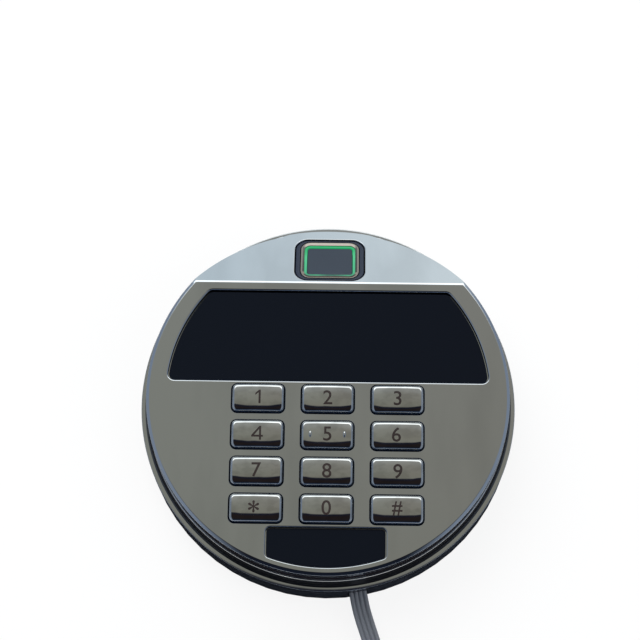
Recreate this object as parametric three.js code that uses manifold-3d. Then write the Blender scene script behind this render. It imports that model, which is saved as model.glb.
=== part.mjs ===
// Round keypad unit of an electronic safe lock: a chrome shell with twelve keys, a smoked display window and a
// fingerprint reader on a sloping facet, a dark base, and a flat four-core lead wound up beside it.
// Millimetres. +Z points out of the face, +Y towards the fingerprint reader. The origin is the centre of the back.
import * as THREE from 'three';
import { mergeVertices } from 'three/addons/utils/BufferGeometryUtils.js';
import Module from 'manifold-3d';

const wasm = await Module();
wasm.setup();

// Whole unit. Its width and depth follow from what it holds, further down.
const pieceGap = 0.3;
const cutOverrun = 1;
const mergeDistance = 0.0005;
const ringSteps = 60;

// Front shell: face, side wall, rounded lip at its foot, and the skirt that the rings sit on
const keysToShell = 2.3;
const traysToSkirt = 7.95;
const faceEdgeRound = 0.6;
const faceThickness = 3.5;
const shellSideHeight = 10;
const lipReach = 0.4;
const lipHeight = 1.4;
const shellWall = 2.5;
const skirtInset = 2.4;
const skirtWall = 2;
const skirtLength = 8.1;
const skirtRoot = 2.1;
const facetDegrees = 27;
const facetThickness = 3;

// Snap hooks of the base, in windows of the skirt
const hookCount = 4;
const firstHookDegrees = 45;
const hookWidth = 8;
const hookThickness = 1.8;
const hookBarb = 1.4;
const hookBarbHeight = 1.4;
const skirtBar = 1.9;

// Flange ring and gasket
const flangeReach = 2.5;
const flangeDrop = 13.4;
const flangeThickness = 2;
const flangeEdgeRound = 0.5;
const gasketFootInset = 1.1;
const gasketFlare = 0.9;

// Display window and the smaller window under the keys
const displayBottomY = 3.9;
const displayToCrease = 2.6;
const displayRim = 5.7;
const displayCorner = 2;
const viewHalfWidth = 33;
const viewMargin = 2.5;
const footToKeys = 1.2;
const footHalfWidth = 17.2;
const footRim = 2.3;
const footCorner = 1.5;
const lensRecess = 1;
const lensThickness = 1.2;
const panelMargin = 1.5;

// Keys
const keyWidth = 14.8;
const keyDepth = 8;
const keyGapX = 5.26;
const keyGapY = 2.7;
const keysToDisplay = 1.3;
const keyCorner = 1.4;
const keyProud = 1.8;
const keyCrownRadius = 24;
const keyEdgeInset = 1.1;
const keyEdgeDrop = 0.7;
const keyFlangeReach = 0.9;
const keyFlangeThickness = 1;
const keyWall = 1.2;
const keyPlungerRadius = 1.5;
const keyTravel = 1;
const nubWidth = 0.8;
const nubLength = 1.9;
const nubHeight = 0.3;
const nubOffset = 4.9;

// Silicone mat and main board
const matThickness = 0.8;
const matMargin = 0.5;
const domeWidth = 9;
const domeDepth = 5;
const domeHeight = 2;
const boardClearance = 0.5;
const boardThickness = 1.6;
const boardToCrease = 0.8;
const chipSize = 10;
const chipThickness = 1.2;
const chipX = 36;
const chipY = 12;
const buzzerRadius = 6;
const buzzerHeight = 5;

// Screws of the board, and the bosses of the shell that they go into
const boardScrewRadius = 1.25;
const boardScrewHeadRadius = 2.25;
const boardScrewHeadHeight = 1.4;
const boardScrewBite = 3.6;
const socketShare = 0.55;
const boardBossRadius = 2.6;
const sideScrewInset = 6.05;
const sideScrewDegrees = -2.7;
const footScrewInset = 2.63;
const footScrewDegrees = -45.6;

// Fingerprint reader, from the crease up the facet and down into it
const creaseToSensor = 0.94;
const sensorToRim = 3.15;
const sensorBorderX = 1.8;
const sensorBorderY = 1.075;
const sensorCorner = 4;
const sensorFrameRecess = 0.15;
const sensorFrameDepth = 4;
const sensorFrameFloor = 0.9;
const bezelWidth = 17.2;
const bezelHeight = 14.75;
const bezelCorner = 2.8;
const bezelRecess = 0.1;
const bezelChamfer = 0.3;
const bezelBand = 0.95;
const lightRingBand = 0.9;
const padRecess = 0.65;
const sensorBoardInset = 0.6;
const sensorBoardThickness = 1;
const flexWidth = 9;
const flexThickness = 0.3;
const flexOverlap = 3;

// Base
const baseWall = 2.6;
const baseEdgeRound = 0.4;
const backRecess = 1.9;
const floorThickness = 2.2;
const rimWidth = 3.6;
const cableHoleRadius = 7;
const collarWall = 2.5;
const doorScrewSpacing = 41.3;
const doorScrewHoleRadius = 2.25;
const doorScrewBossRadius = 4.2;
const ribThickness = 1.2;
const ribInset = 0.5;
const ribDegrees = [30, 90, 150, 210, 250, 330];

// Battery trays: two cells each, above and below the middle band
const middleBandHalf = 6.9;
const trayWall = 1;
const trayFloor = 1;
const trayHeight = 7.5;
const cellRadius = 5.25;
const cellLength = 44.5;
const cellsToBoard = 0.5;
const cellNubRadius = 1.9;
const cellNubHeight = 1;
const contactThickness = 0.4;
const contactWidth = 8;
const contactHeight = 8;
const contactTabWidth = 2.5;
const springLength = 3.2;
const springRadius = 3;
const springTipRadius = 1.2;

// Lead: a flat cable that leaves through a slot of the base wall
const cableWidth = 5.2;
const cableThickness = 1.4;
const cableEdge = 0.5;
const exitDegrees = 9.85;
const exitSlopeDegrees = 13.8;
const exitHeight = 7.6;
const slotClearance = 0.6;
const slotHeadroom = 1.3;
const socketFaceReach = 16.5;
const socketLength = 5.5;
const socketWidth = 12;
const socketLip = 0.75;
const plugNose = 2;
const clampReach = 10.3;
const clampLength = 4;
const clampWidth = 17;
const clampWall = 1.2;
const clampScrewRadius = 0.9;
const clampScrewHeadRadius = 1.7;
const clampScrewHeadHeight = 1;
const clampScrewBite = 3;
const clampScrewOffset = 5.9;

// The lead's free stretch, from the clamp to the straight end of the coil, as offsets from where it leaves the
// wall, and how far along it starts to turn on edge
const leadRoute = [
  [-1.66, 9.56, 2.38],
  [-0.86, 4.93, 1.23],
  [0, 0, 0],
  [0.94, -4.41, -1.1],
  [2.14, -8.31, -2.05],
  [3.44, -12.01, -2.85],
  [4.99, -16.61, -3.5],
  [6.79, -21.91, -3.9],
  [8.59, -27.21, -4.1],
  [10.09, -31.61, -4.1],
  [11.33, -35.28, -4.1],
];
const twistStartShare = 0.42;
const leadSteps = 20;

// The coil that the rest of the lead is wound into, and its tie
const coilLift = 0.9;
const coilOuterRadius = 32.3;
const coilPitch = 2.05;
const coilTurns = 2.1;
const coilStartDegrees = 18.6;
const coilStepsPerTurn = 24;
const tailRadius = 21.5;
const tailDegrees = 125;
const tailSteps = 12;
const leastSelfGap = 0.4;
const tieThickness = 0.6;
const tieWidth = 3;
const tieDegrees = 96;
const tieHeadLength = 3.4;
const tieHeadDepth = 4.2;
const connectorWidth = 12.4;
const connectorHeight = 5.8;
const connectorLength = 12;
const connectorPinCount = 4;
const connectorPinPitch = 2.5;
const connectorPinSize = 1.2;
const connectorPinDepth = 6;
const connectorNoseShare = 0.72;
const connectorNoseLength = 3;

// Heights and radii that follow from the sizes above
const degree = Math.PI / 180;
const facetAngle = facetDegrees * degree;

// Depth: floor, tray, cells, board, mat, keys and face, from the back forwards
const floorTopZ = backRecess + floorThickness;
const trayBottomZ = floorTopZ + pieceGap;
const cellZ = trayBottomZ + trayFloor + pieceGap + cellRadius;
const boardBottomZ = cellZ + cellRadius + cellsToBoard;
const boardTopZ = boardBottomZ + boardThickness;
const matBottomZ = boardTopZ + pieceGap;
const matTopZ = matBottomZ + matThickness;
const domeTopZ = matTopZ + domeHeight;
const keyBottomZ = domeTopZ + pieceGap;
const keyFlangeTopZ = keyBottomZ + keyFlangeThickness;
const faceInnerZ = keyFlangeTopZ + pieceGap;
const overallDepth = faceInnerZ + faceThickness;
const underBoardZ = boardBottomZ - pieceGap;

// Width: the skirt clears the battery trays' corners, and the shell the farthest keys' flanges
const springReach = springLength - contactThickness / 2;
const trayInnerDepth = 4 * cellRadius + 3 * pieceGap;
const trayInnerLength = cellLength + springReach + 2 * contactThickness + 4 * pieceGap;
const trayCentreY = middleBandHalf + trayWall + trayInnerDepth / 2;
const trayCornerRadius = Math.hypot(trayInnerLength / 2 + trayWall, trayCentreY + trayInnerDepth / 2 + trayWall);
const keyPitchX = keyWidth + keyGapX;
const keyPitchY = keyDepth + keyGapY;
const keyGridCentreY = displayBottomY - keysToDisplay - keyDepth / 2 - 1.5 * keyPitchY;
const keyGridBottomY = keyGridCentreY - 1.5 * keyPitchY - keyDepth / 2;
const keysRadius = Math.hypot(keyPitchX + keyWidth / 2 + keyFlangeReach, keyGridBottomY - keyFlangeReach);
const skirtToShellWall = skirtWall + skirtInset - shellWall;
const skirtInnerRadius = Math.max(trayCornerRadius + traysToSkirt, keysRadius + keysToShell - skirtToShellWall);
const skirtRadius = skirtInnerRadius + skirtWall;
const shellRadius = skirtRadius + skirtInset;
const shellInnerRadius = shellRadius - shellWall;
const faceRadius = shellRadius - faceEdgeRound;
const overallRadius = shellRadius + flangeReach;
const shellLipZ = overallDepth - shellSideHeight;
const skirtBottomZ = shellLipZ - skirtLength;
const skirtRootZ = shellLipZ + skirtRoot;
const flangeTopZ = overallDepth - flangeDrop;
const flangeBottomZ = flangeTopZ - flangeThickness;
const baseTopZ = flangeBottomZ - pieceGap;
const baseInnerRadius = overallRadius - baseWall;
const boardRadius = skirtInnerRadius - boardClearance;
const pocketDepth = lensRecess + lensThickness + pieceGap;

// The facet is as long as the reader needs; the windows lie between it, the keys and the rim.
const sensorWidth = bezelWidth + 2 * sensorBorderX;
const sensorHeight = bezelHeight + 2 * sensorBorderY;
const sensorCentreUp = creaseToSensor + sensorHeight / 2;
const facetLength = creaseToSensor + sensorHeight + sensorToRim;
const creaseY = shellRadius - facetLength * Math.cos(facetAngle);
const displayTopY = creaseY - displayToCrease;
const displayArcRadius = shellRadius - displayRim;
const footTopY = keyGridBottomY - footToKeys;
const footArcRadius = shellRadius - footRim;
const boardTopEdgeY = creaseY - boardToCrease;

// Finishes
const chrome = { color: 0xc3c6c5, roughness: 0.08, metalness: 1 };
const silver = { color: 0xa9aca8, roughness: 0.3, metalness: 0.9 };
const smoked = { color: 0x14161b, roughness: 0.1, metalness: 0 };
const blackPlastic = { color: 0x17181b, roughness: 0.45, metalness: 0 };
const basePlastic = { color: 0x34373e, roughness: 0.5, metalness: 0 };
const slate = { color: 0x464a56, roughness: 0.4, metalness: 0 };
const greenLight = { color: 0x37c985, roughness: 0.3, metalness: 0 };
const silicone = { color: 0x8c8f90, roughness: 0.7, metalness: 0 };
const boardGreen = { color: 0x1f5a3a, roughness: 0.5, metalness: 0 };
const steel = { color: 0x9a9c9e, roughness: 0.35, metalness: 1 };
const whiteNylon = { color: 0xd9d8cf, roughness: 0.5, metalness: 0 };
const glassPanel = { color: 0x2c3238, roughness: 0.15, metalness: 0 };
const amberFilm = { color: 0xa8682c, roughness: 0.4, metalness: 0 };
const cellWrap = { color: 0x3b5f8a, roughness: 0.35, metalness: 0.2 };
const cableGrey = { color: 0x73767c, roughness: 0.5, metalness: 0 };

const keypadUnit = new THREE.Group();

function placeMesh(name, geometry, finish, parent = keypadUnit) {
  const mesh = new THREE.Mesh(geometry, new THREE.MeshStandardMaterial(finish));
  mesh.name = name;
  parent.add(mesh);
  return mesh;
}

// Joining and cutting
function solidOf(geometry) {
  const bare = geometry.index ? geometry.toNonIndexed() : geometry.clone();
  bare.deleteAttribute('normal');
  bare.deleteAttribute('uv');
  const merged = mergeVertices(bare, mergeDistance);
  const vertProperties = merged.attributes.position.array;
  const triVerts = new Uint32Array(merged.index.array);
  return new wasm.Manifold(new wasm.Mesh({ numProp: 3, vertProperties, triVerts }));
}

function geometryOf(solid) {
  const mesh = solid.getMesh();
  const indexed = new THREE.BufferGeometry();
  indexed.setAttribute('position', new THREE.BufferAttribute(new Float32Array(mesh.vertProperties), 3));
  indexed.setIndex(new THREE.BufferAttribute(new Uint32Array(mesh.triVerts), 1));
  const flat = indexed.toNonIndexed();
  flat.computeVertexNormals();
  return flat;
}

function joinAll(first, ...others) {
  return others.reduce((whole, geometry) => whole.add(solidOf(geometry)), first);
}

function cutAll(first, ...others) {
  return others.reduce((whole, geometry) => whole.subtract(solidOf(geometry)), first);
}

// Basic forms, with their places in the geometry
function block(x0, x1, y0, y1, z0, z1) {
  const geometry = new THREE.BoxGeometry(x1 - x0, y1 - y0, z1 - z0);
  return geometry.translate((x0 + x1) / 2, (y0 + y1) / 2, (z0 + z1) / 2);
}

function post(radius, x, y, z0, z1, steps = 20) {
  const geometry = new THREE.CylinderGeometry(radius, radius, z1 - z0, steps);
  return geometry.rotateX(Math.PI / 2).translate(x, y, (z0 + z1) / 2);
}

function turned(profile, steps = ringSteps) {
  const points = profile.map(([radius, z]) => new THREE.Vector2(radius, z));
  return new THREE.LatheGeometry(points, steps).rotateX(Math.PI / 2);
}

function slab(shape, z0, z1, curveSegments = 5) {
  const geometry = new THREE.ExtrudeGeometry(shape, { depth: z1 - z0, bevelEnabled: false, curveSegments });
  return geometry.translate(0, 0, z0);
}

function roundedRectangle(width, height, corner, x = 0, y = 0) {
  const halfWidth = width / 2 - corner;
  const halfHeight = height / 2 - corner;
  const shape = new THREE.Shape();
  shape.absarc(x + halfWidth, y + halfHeight, corner, 0, Math.PI / 2);
  shape.absarc(x - halfWidth, y + halfHeight, corner, Math.PI / 2, Math.PI);
  shape.absarc(x - halfWidth, y - halfHeight, corner, Math.PI, 1.5 * Math.PI);
  shape.absarc(x + halfWidth, y - halfHeight, corner, 1.5 * Math.PI, 2 * Math.PI);
  return shape;
}

// Outline between two straight edges and two arcs about the middle of the face, its corners rounded.
function displayOutline(inset) {
  const bottom = displayBottomY + inset;
  const top = displayTopY - inset;
  const radius = displayArcRadius - inset;
  const corner = displayCorner - inset;
  const reach = radius - corner;
  const bottomX = Math.sqrt(reach ** 2 - (bottom + corner) ** 2);
  const topX = Math.sqrt(reach ** 2 - (top - corner) ** 2);
  const bottomTurn = Math.atan2(bottom + corner, bottomX);
  const topTurn = Math.atan2(top - corner, topX);
  const shape = new THREE.Shape();
  shape.absarc(bottomX, bottom + corner, corner, -Math.PI / 2, bottomTurn);
  shape.absarc(0, 0, radius, bottomTurn, topTurn);
  shape.absarc(topX, top - corner, corner, topTurn, Math.PI / 2);
  shape.absarc(-topX, top - corner, corner, Math.PI / 2, Math.PI - topTurn);
  shape.absarc(0, 0, radius, Math.PI - topTurn, Math.PI - bottomTurn);
  shape.absarc(-bottomX, bottom + corner, corner, Math.PI - bottomTurn, 1.5 * Math.PI);
  return shape;
}

// Outline with a straight top, straight sides and an arc about the middle of the face below.
function footOutline(inset) {
  const top = footTopY - inset;
  const side = footHalfWidth - inset;
  const radius = footArcRadius - inset;
  const corner = footCorner - inset;
  const cornerX = side - corner;
  const cornerY = -Math.sqrt((radius - corner) ** 2 - cornerX ** 2);
  const turn = Math.atan2(cornerY, cornerX);
  const shape = new THREE.Shape();
  shape.absarc(cornerX, top - corner, corner, 0, Math.PI / 2);
  shape.absarc(-cornerX, top - corner, corner, Math.PI / 2, Math.PI);
  shape.absarc(-cornerX, cornerY, corner, Math.PI, 1.5 * Math.PI - (turn + Math.PI / 2));
  shape.absarc(0, 0, radius, -Math.PI - turn, turn);
  shape.absarc(cornerX, cornerY, corner, turn, 0);
  return shape;
}

function quarterRound(centreRadius, centreZ, round, fromDegrees, toDegrees, steps = 3) {
  const points = [];
  for (let i = 0; i <= steps; i += 1) {
    const angle = (fromDegrees + ((toDegrees - fromDegrees) * i) / steps) * degree;
    points.push([centreRadius + round * Math.cos(angle), centreZ + round * Math.sin(angle)]);
  }
  return points;
}

// Frame of the facet: X across, Y up the slope from the crease, Z out of it.
const facet = new THREE.Group();
facet.position.set(0, creaseY, overallDepth);
facet.rotation.x = -facetAngle;
keypadUnit.add(facet);
const facetPlace = new THREE.Matrix4().makeRotationX(-facetAngle).setPosition(0, creaseY, overallDepth);

// Frame of the lead's exit: origin on the base wall, X across the lead, -Y out and down along it.
const exitTurn = new THREE.Group();
exitTurn.rotation.z = exitDegrees * degree;
keypadUnit.add(exitTurn);
const exitLine = new THREE.Group();
exitLine.position.set(0, -overallRadius, exitHeight);
exitLine.rotation.x = exitSlopeDegrees * degree;
exitTurn.add(exitLine);
exitTurn.updateMatrixWorld(true);
const exitPlace = exitLine.matrixWorld;

function aroundAxis(geometry, degrees) {
  return geometry.rotateZ(degrees * degree);
}

const hookAngles = Array.from({ length: hookCount }, (_, i) => firstHookDegrees + (360 / hookCount) * i);
const boardScrewPlaces = [];
for (const [inset, degrees] of [
  [sideScrewInset, sideScrewDegrees],
  [footScrewInset, footScrewDegrees],
]) {
  const reach = skirtInnerRadius - inset;
  for (const side of [-1, 1]) {
    boardScrewPlaces.push([side * reach * Math.cos(degrees * degree), reach * Math.sin(degrees * degree)]);
  }
}
const keyNames = ['1', '2', '3', '4', '5', '6', '7', '8', '9', 'star', '0', 'hash'];
const keyPlaces = keyNames.map((name, i) => ({
  name,
  x: ((i % 3) - 1) * keyPitchX,
  y: keyGridCentreY + (1.5 - Math.floor(i / 3)) * keyPitchY,
}));

// Front shell
function aboveFacet(depth) {
  const span = 2 * overallRadius;
  return block(-span, span, -span, span, -depth, span).applyMatrix4(facetPlace);
}

function makeFrontShell() {
  const lip = [];
  for (let i = 0; i <= 3; i += 1) {
    const angle = (-90 + 60 * i) * degree;
    const z = shellLipZ + (lipHeight / 2) * (1 + Math.sin(angle));
    lip.push([shellRadius + lipReach * Math.cos(angle), z]);
  }
  const outside = turned([
    [0, skirtBottomZ],
    [skirtRadius, skirtBottomZ],
    [skirtRadius, shellLipZ],
    ...lip,
    ...quarterRound(faceRadius, overallDepth - faceEdgeRound, faceEdgeRound, 0, 90, 2),
    [0, overallDepth],
  ]);
  const inside = turned([
    [0, skirtBottomZ - cutOverrun],
    [skirtInnerRadius, skirtBottomZ - cutOverrun],
    [skirtInnerRadius, skirtRootZ],
    [shellInnerRadius, skirtRootZ],
    [shellInnerRadius, faceInnerZ],
    [0, faceInnerZ],
  ]);
  const body = cutAll(solidOf(outside), aboveFacet(0));
  const hollow = cutAll(solidOf(inside), aboveFacet(facetThickness));
  let shell = body.subtract(hollow);
  for (const [x, y] of boardScrewPlaces) {
    shell = joinAll(shell, post(boardBossRadius, x, y, boardTopZ + pieceGap, faceInnerZ + pieceGap));
    const holeTop = boardTopZ + pieceGap + boardScrewBite + pieceGap;
    shell = cutAll(shell, post(boardScrewRadius + pieceGap, x, y, boardTopZ, holeTop, 12));
  }
  for (const { x, y } of keyPlaces) {
    const hole = roundedRectangle(keyWidth + 2 * pieceGap, keyDepth + 2 * pieceGap, keyCorner + pieceGap, x, y);
    shell = cutAll(shell, slab(hole, faceInnerZ - cutOverrun, overallDepth + cutOverrun, 2));
  }
  const viewBottom = displayBottomY + viewMargin;
  const viewTop = displayTopY - viewMargin;
  const depth = overallDepth - pocketDepth;
  const readerHole = roundedRectangle(sensorWidth, sensorHeight, sensorCorner, 0, sensorCentreUp);
  shell = cutAll(
    shell,
    slab(displayOutline(0), depth, overallDepth + cutOverrun, 8),
    slab(footOutline(0), depth, overallDepth + cutOverrun, 8),
    block(-viewHalfWidth, viewHalfWidth, viewBottom, viewTop, faceInnerZ - cutOverrun, overallDepth),
    slab(readerHole, -sensorFrameDepth - pieceGap, cutOverrun, 5).applyMatrix4(facetPlace),
  );
  const windowHalf = hookWidth / 2 + pieceGap;
  const windowBottom = skirtBottomZ + skirtBar;
  const windowTop = windowBottom + hookBarbHeight + 2 * pieceGap;
  const skirtMiddle = skirtInnerRadius - cutOverrun;
  const skirtOutside = skirtRadius + cutOverrun;
  for (const angle of hookAngles) {
    const opening = block(skirtMiddle, skirtOutside, -windowHalf, windowHalf, windowBottom, windowTop);
    shell = cutAll(shell, aroundAxis(opening, angle));
  }
  const notchHalf = cableWidth / 2 + slotClearance;
  const notchBottom = skirtBottomZ - cutOverrun;
  const climb = (overallRadius - skirtInnerRadius) * Math.tan(exitSlopeDegrees * degree);
  const notchTop = Math.max(exitHeight + climb + cableThickness / 2 + slotClearance, skirtBottomZ);
  const notch = block(-notchHalf, notchHalf, -skirtOutside, -skirtMiddle, notchBottom, notchTop);
  return cutAll(shell, aroundAxis(notch, exitDegrees));
}
placeMesh('front_shell', geometryOf(makeFrontShell()), chrome);

const lensBottomZ = overallDepth - lensRecess - lensThickness;
const lensTopZ = overallDepth - lensRecess;
placeMesh('display_lens', slab(displayOutline(pieceGap), lensBottomZ, lensTopZ, 8), smoked);
placeMesh('lower_window', slab(footOutline(pieceGap), lensBottomZ, lensTopZ, 8), smoked);

// Flange ring and gasket, on the skirt
const ringBore = skirtRadius + pieceGap;
placeMesh(
  'flange_ring',
  turned([
    [ringBore, flangeBottomZ],
    ...quarterRound(overallRadius - flangeEdgeRound, flangeBottomZ + flangeEdgeRound, flangeEdgeRound, -90, 0, 1),
    ...quarterRound(overallRadius - flangeEdgeRound, flangeTopZ - flangeEdgeRound, flangeEdgeRound, 0, 90, 2),
    [ringBore, flangeTopZ],
    [ringBore, flangeBottomZ],
  ]),
  chrome,
);
const gasketFootRadius = overallRadius - gasketFootInset;
placeMesh(
  'shell_gasket',
  turned([
    [ringBore, flangeTopZ + pieceGap],
    [gasketFootRadius, flangeTopZ + pieceGap],
    [gasketFootRadius - gasketFlare, shellLipZ - pieceGap],
    [ringBore, shellLipZ - pieceGap],
    [ringBore, flangeTopZ + pieceGap],
  ]),
  blackPlastic,
);

// Keys, each a hollow cap with a flange that stops it under the face and a plunger over its dome
const keyTopZ = overallDepth + keyProud;

function makeKey(x, y, nubbed) {
  const bevel = { bevelThickness: keyEdgeDrop, bevelSize: keyEdgeInset, bevelOffset: -keyEdgeInset };
  const depth = keyTopZ - keyEdgeDrop - keyBottomZ;
  const outline = roundedRectangle(keyWidth, keyDepth, keyCorner);
  const cap = new THREE.ExtrudeGeometry(outline, { depth, bevelSegments: 1, curveSegments: 2, ...bevel });
  const crown = new THREE.CylinderGeometry(keyCrownRadius, keyCrownRadius, 2 * keyWidth, 80);
  crown.rotateZ(Math.PI / 2).translate(0, 0, keyTopZ - keyCrownRadius);
  const flangeWidth = keyWidth + 2 * keyFlangeReach;
  const flangeDepth = keyDepth + 2 * keyFlangeReach;
  const flange = roundedRectangle(flangeWidth, flangeDepth, keyCorner);
  const below = block(-keyWidth, keyWidth, -keyWidth, keyWidth, keyBottomZ - 2 * keyProud, keyBottomZ);
  let key = cutAll(solidOf(cap.translate(0, 0, keyBottomZ)), below);
  key = key.intersect(solidOf(crown));
  key = joinAll(key, slab(flange, keyBottomZ, keyFlangeTopZ, 1));
  const pocketX = keyWidth / 2 - keyWall;
  const pocketY = keyDepth / 2 - keyWall;
  const pocketTop = overallDepth + keyProud - keyEdgeDrop - keyWall;
  key = cutAll(key, block(-pocketX, pocketX, -pocketY, pocketY, keyBottomZ - cutOverrun, pocketTop));
  key = joinAll(key, post(keyPlungerRadius, 0, 0, keyBottomZ, pocketTop + pieceGap, 8));
  if (nubbed) {
    for (const side of [-1, 1]) {
      const nub = roundedRectangle(nubWidth, nubLength, nubWidth / 2 - nubWidth / 20, side * nubOffset, 0);
      key = joinAll(key, slab(nub, keyTopZ - keyEdgeDrop, keyTopZ + nubHeight, 2));
    }
  }
  return geometryOf(key).translate(x, y, 0);
}
for (const { name, x, y } of keyPlaces) {
  placeMesh(`key_${name}`, makeKey(x, y, name === '5'), chrome);
}

// Silicone mat
const matHalfX = keyPitchX + keyWidth / 2 + keyFlangeReach + matMargin;
const matHalfY = 1.5 * keyPitchY + keyDepth / 2 + keyFlangeReach + matMargin;
const matBottomY = keyGridCentreY - matHalfY;
const matTopY = keyGridCentreY + matHalfY;
let mat = solidOf(block(-matHalfX, matHalfX, matBottomY, matTopY, matBottomZ, matTopZ));
for (const { x, y } of keyPlaces) {
  const dome = roundedRectangle(domeWidth, domeDepth, keyCorner, x, y);
  mat = joinAll(mat, slab(dome, matTopZ - matThickness / 2, domeTopZ, 1));
}
for (const [x, y] of boardScrewPlaces) {
  mat = cutAll(mat, post(boardBossRadius + pieceGap, x, y, boardTopZ, faceInnerZ, 12));
}
placeMesh('key_mat', geometryOf(mat), silicone);

// Main board with a chip, held by four screws
function makeMainBoard() {
  const cut = Math.asin(boardTopEdgeY / boardRadius);
  const outline = new THREE.Shape();
  outline.absarc(0, 0, boardRadius, Math.PI - cut, 2 * Math.PI + cut);
  let board = solidOf(slab(outline, boardBottomZ, boardTopZ, 32));
  const chipTop = boardBottomZ + boardThickness / 2;
  const half = chipSize / 2;
  const chipBottom = boardBottomZ - chipThickness;
  board = joinAll(board, block(chipX - half, chipX + half, chipY - half, chipY + half, chipBottom, chipTop));
  for (const [x, y] of boardScrewPlaces) {
    const z0 = boardBottomZ - cutOverrun;
    board = cutAll(board, post(boardScrewRadius + pieceGap, x, y, z0, boardTopZ + cutOverrun, 12));
  }
  return geometryOf(board);
}
placeMesh('main_board', makeMainBoard(), boardGreen);
placeMesh('buzzer', post(buzzerRadius, -chipX, chipY, underBoardZ - buzzerHeight, underBoardZ, 24), blackPlastic);

function makeScrew(radius, headRadius, headHeight, length) {
  const head = post(headRadius, 0, 0, -headHeight, 0, 16);
  const shank = post(radius, 0, 0, -headHeight / 2, length, 12);
  const drive = post(headRadius * socketShare, 0, 0, -headHeight - cutOverrun, -headHeight / 2, 6);
  return geometryOf(cutAll(joinAll(solidOf(head), shank), drive));
}
boardScrewPlaces.forEach(([x, y], i) => {
  const length = boardTopZ + pieceGap + boardScrewBite - underBoardZ;
  const geometry = makeScrew(boardScrewRadius, boardScrewHeadRadius, boardScrewHeadHeight, length);
  placeMesh(`board_screw_${i + 1}`, geometry, steel).position.set(x, y, underBoardZ);
});

const panelHalfX = viewHalfWidth + panelMargin;
const panelBottomY = displayBottomY + panelMargin;
const panelTopY = displayTopY - panelMargin;
const panelBottomZ = boardTopZ + pieceGap;
const panel = block(-panelHalfX, panelHalfX, panelBottomY, panelTopY, panelBottomZ, faceInnerZ - pieceGap);
placeMesh('display_panel', panel, glassPanel);

// Fingerprint reader, in the facet's frame
function frameOutline(width, height, corner) {
  return roundedRectangle(width, height, corner, 0, sensorCentreUp);
}
const padTop = -padRecess;
const readerFloor = -sensorFrameDepth + sensorFrameFloor;
const readerBottom = readerFloor + pieceGap;
const bezelInnerWidth = bezelWidth - 2 * bezelBand;
const bezelInnerHeight = bezelHeight - 2 * bezelBand;
const bezelInnerCorner = bezelCorner - bezelBand;
const ringWidth = bezelInnerWidth - 2 * pieceGap;
const ringHeight = bezelInnerHeight - 2 * pieceGap;
const ringCorner = bezelInnerCorner - pieceGap;
const ringInnerWidth = ringWidth - 2 * lightRingBand;
const ringInnerHeight = ringHeight - 2 * lightRingBand;
const ringInnerCorner = ringCorner - lightRingBand;
const padCorner = ringInnerCorner - pieceGap / 2;

function makeSensorFrame() {
  const outer = frameOutline(sensorWidth - 2 * pieceGap, sensorHeight - 2 * pieceGap, sensorCorner - pieceGap);
  const pocket = frameOutline(bezelWidth + 2 * pieceGap, bezelHeight + 2 * pieceGap, bezelCorner + pieceGap);
  const cup = solidOf(slab(outer, -sensorFrameDepth, -sensorFrameRecess));
  return geometryOf(cutAll(cup, slab(pocket, readerFloor, cutOverrun)));
}
placeMesh('sensor_frame', makeSensorFrame(), blackPlastic, facet);

function makeSensorBezel() {
  const outer = frameOutline(bezelWidth, bezelHeight, bezelCorner);
  const inner = frameOutline(bezelInnerWidth, bezelInnerHeight, bezelInnerCorner);
  const flare = { bevelThickness: bezelChamfer, bevelSize: bezelBand * 0.8, bevelSegments: 1, steps: 1 };
  const cone = new THREE.ExtrudeGeometry(inner, { depth: bezelChamfer, curveSegments: 5, ...flare });
  const ring = cutAll(solidOf(slab(outer, readerBottom, -bezelRecess)), slab(inner, readerBottom - cutOverrun, 0));
  return geometryOf(cutAll(ring, cone.translate(0, 0, -bezelRecess - bezelChamfer * 2)));
}
placeMesh('sensor_bezel', makeSensorBezel(), silver, facet);

const ringOutline = frameOutline(ringWidth, ringHeight, ringCorner);
ringOutline.holes.push(frameOutline(ringInnerWidth, ringInnerHeight, ringInnerCorner));
const ringTop = -bezelRecess - bezelChamfer;
placeMesh('sensor_light_ring', slab(ringOutline, readerBottom, ringTop), greenLight, facet);
const padWidth = ringInnerWidth - 2 * pieceGap;
const padHeight = ringInnerHeight - 2 * pieceGap;
placeMesh('sensor_pad', slab(frameOutline(padWidth, padHeight, padCorner), readerBottom, padTop), slate, facet);
const sensorBoardTop = -sensorFrameDepth - pieceGap;
const sensorBoardBottom = sensorBoardTop - sensorBoardThickness;
const sensorBoardWidth = bezelWidth - 2 * sensorBoardInset;
const sensorBoardHeight = bezelHeight - 2 * sensorBoardInset;
const sensorBoardLow = sensorCentreUp - sensorBoardHeight / 2;
const sensorBoardHigh = sensorCentreUp + sensorBoardHeight / 2;
placeMesh(
  'sensor_board',
  block(-sensorBoardWidth / 2, sensorBoardWidth / 2, sensorBoardLow, sensorBoardHigh, sensorBoardBottom, sensorBoardTop),
  boardGreen,
  facet,
);

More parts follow.
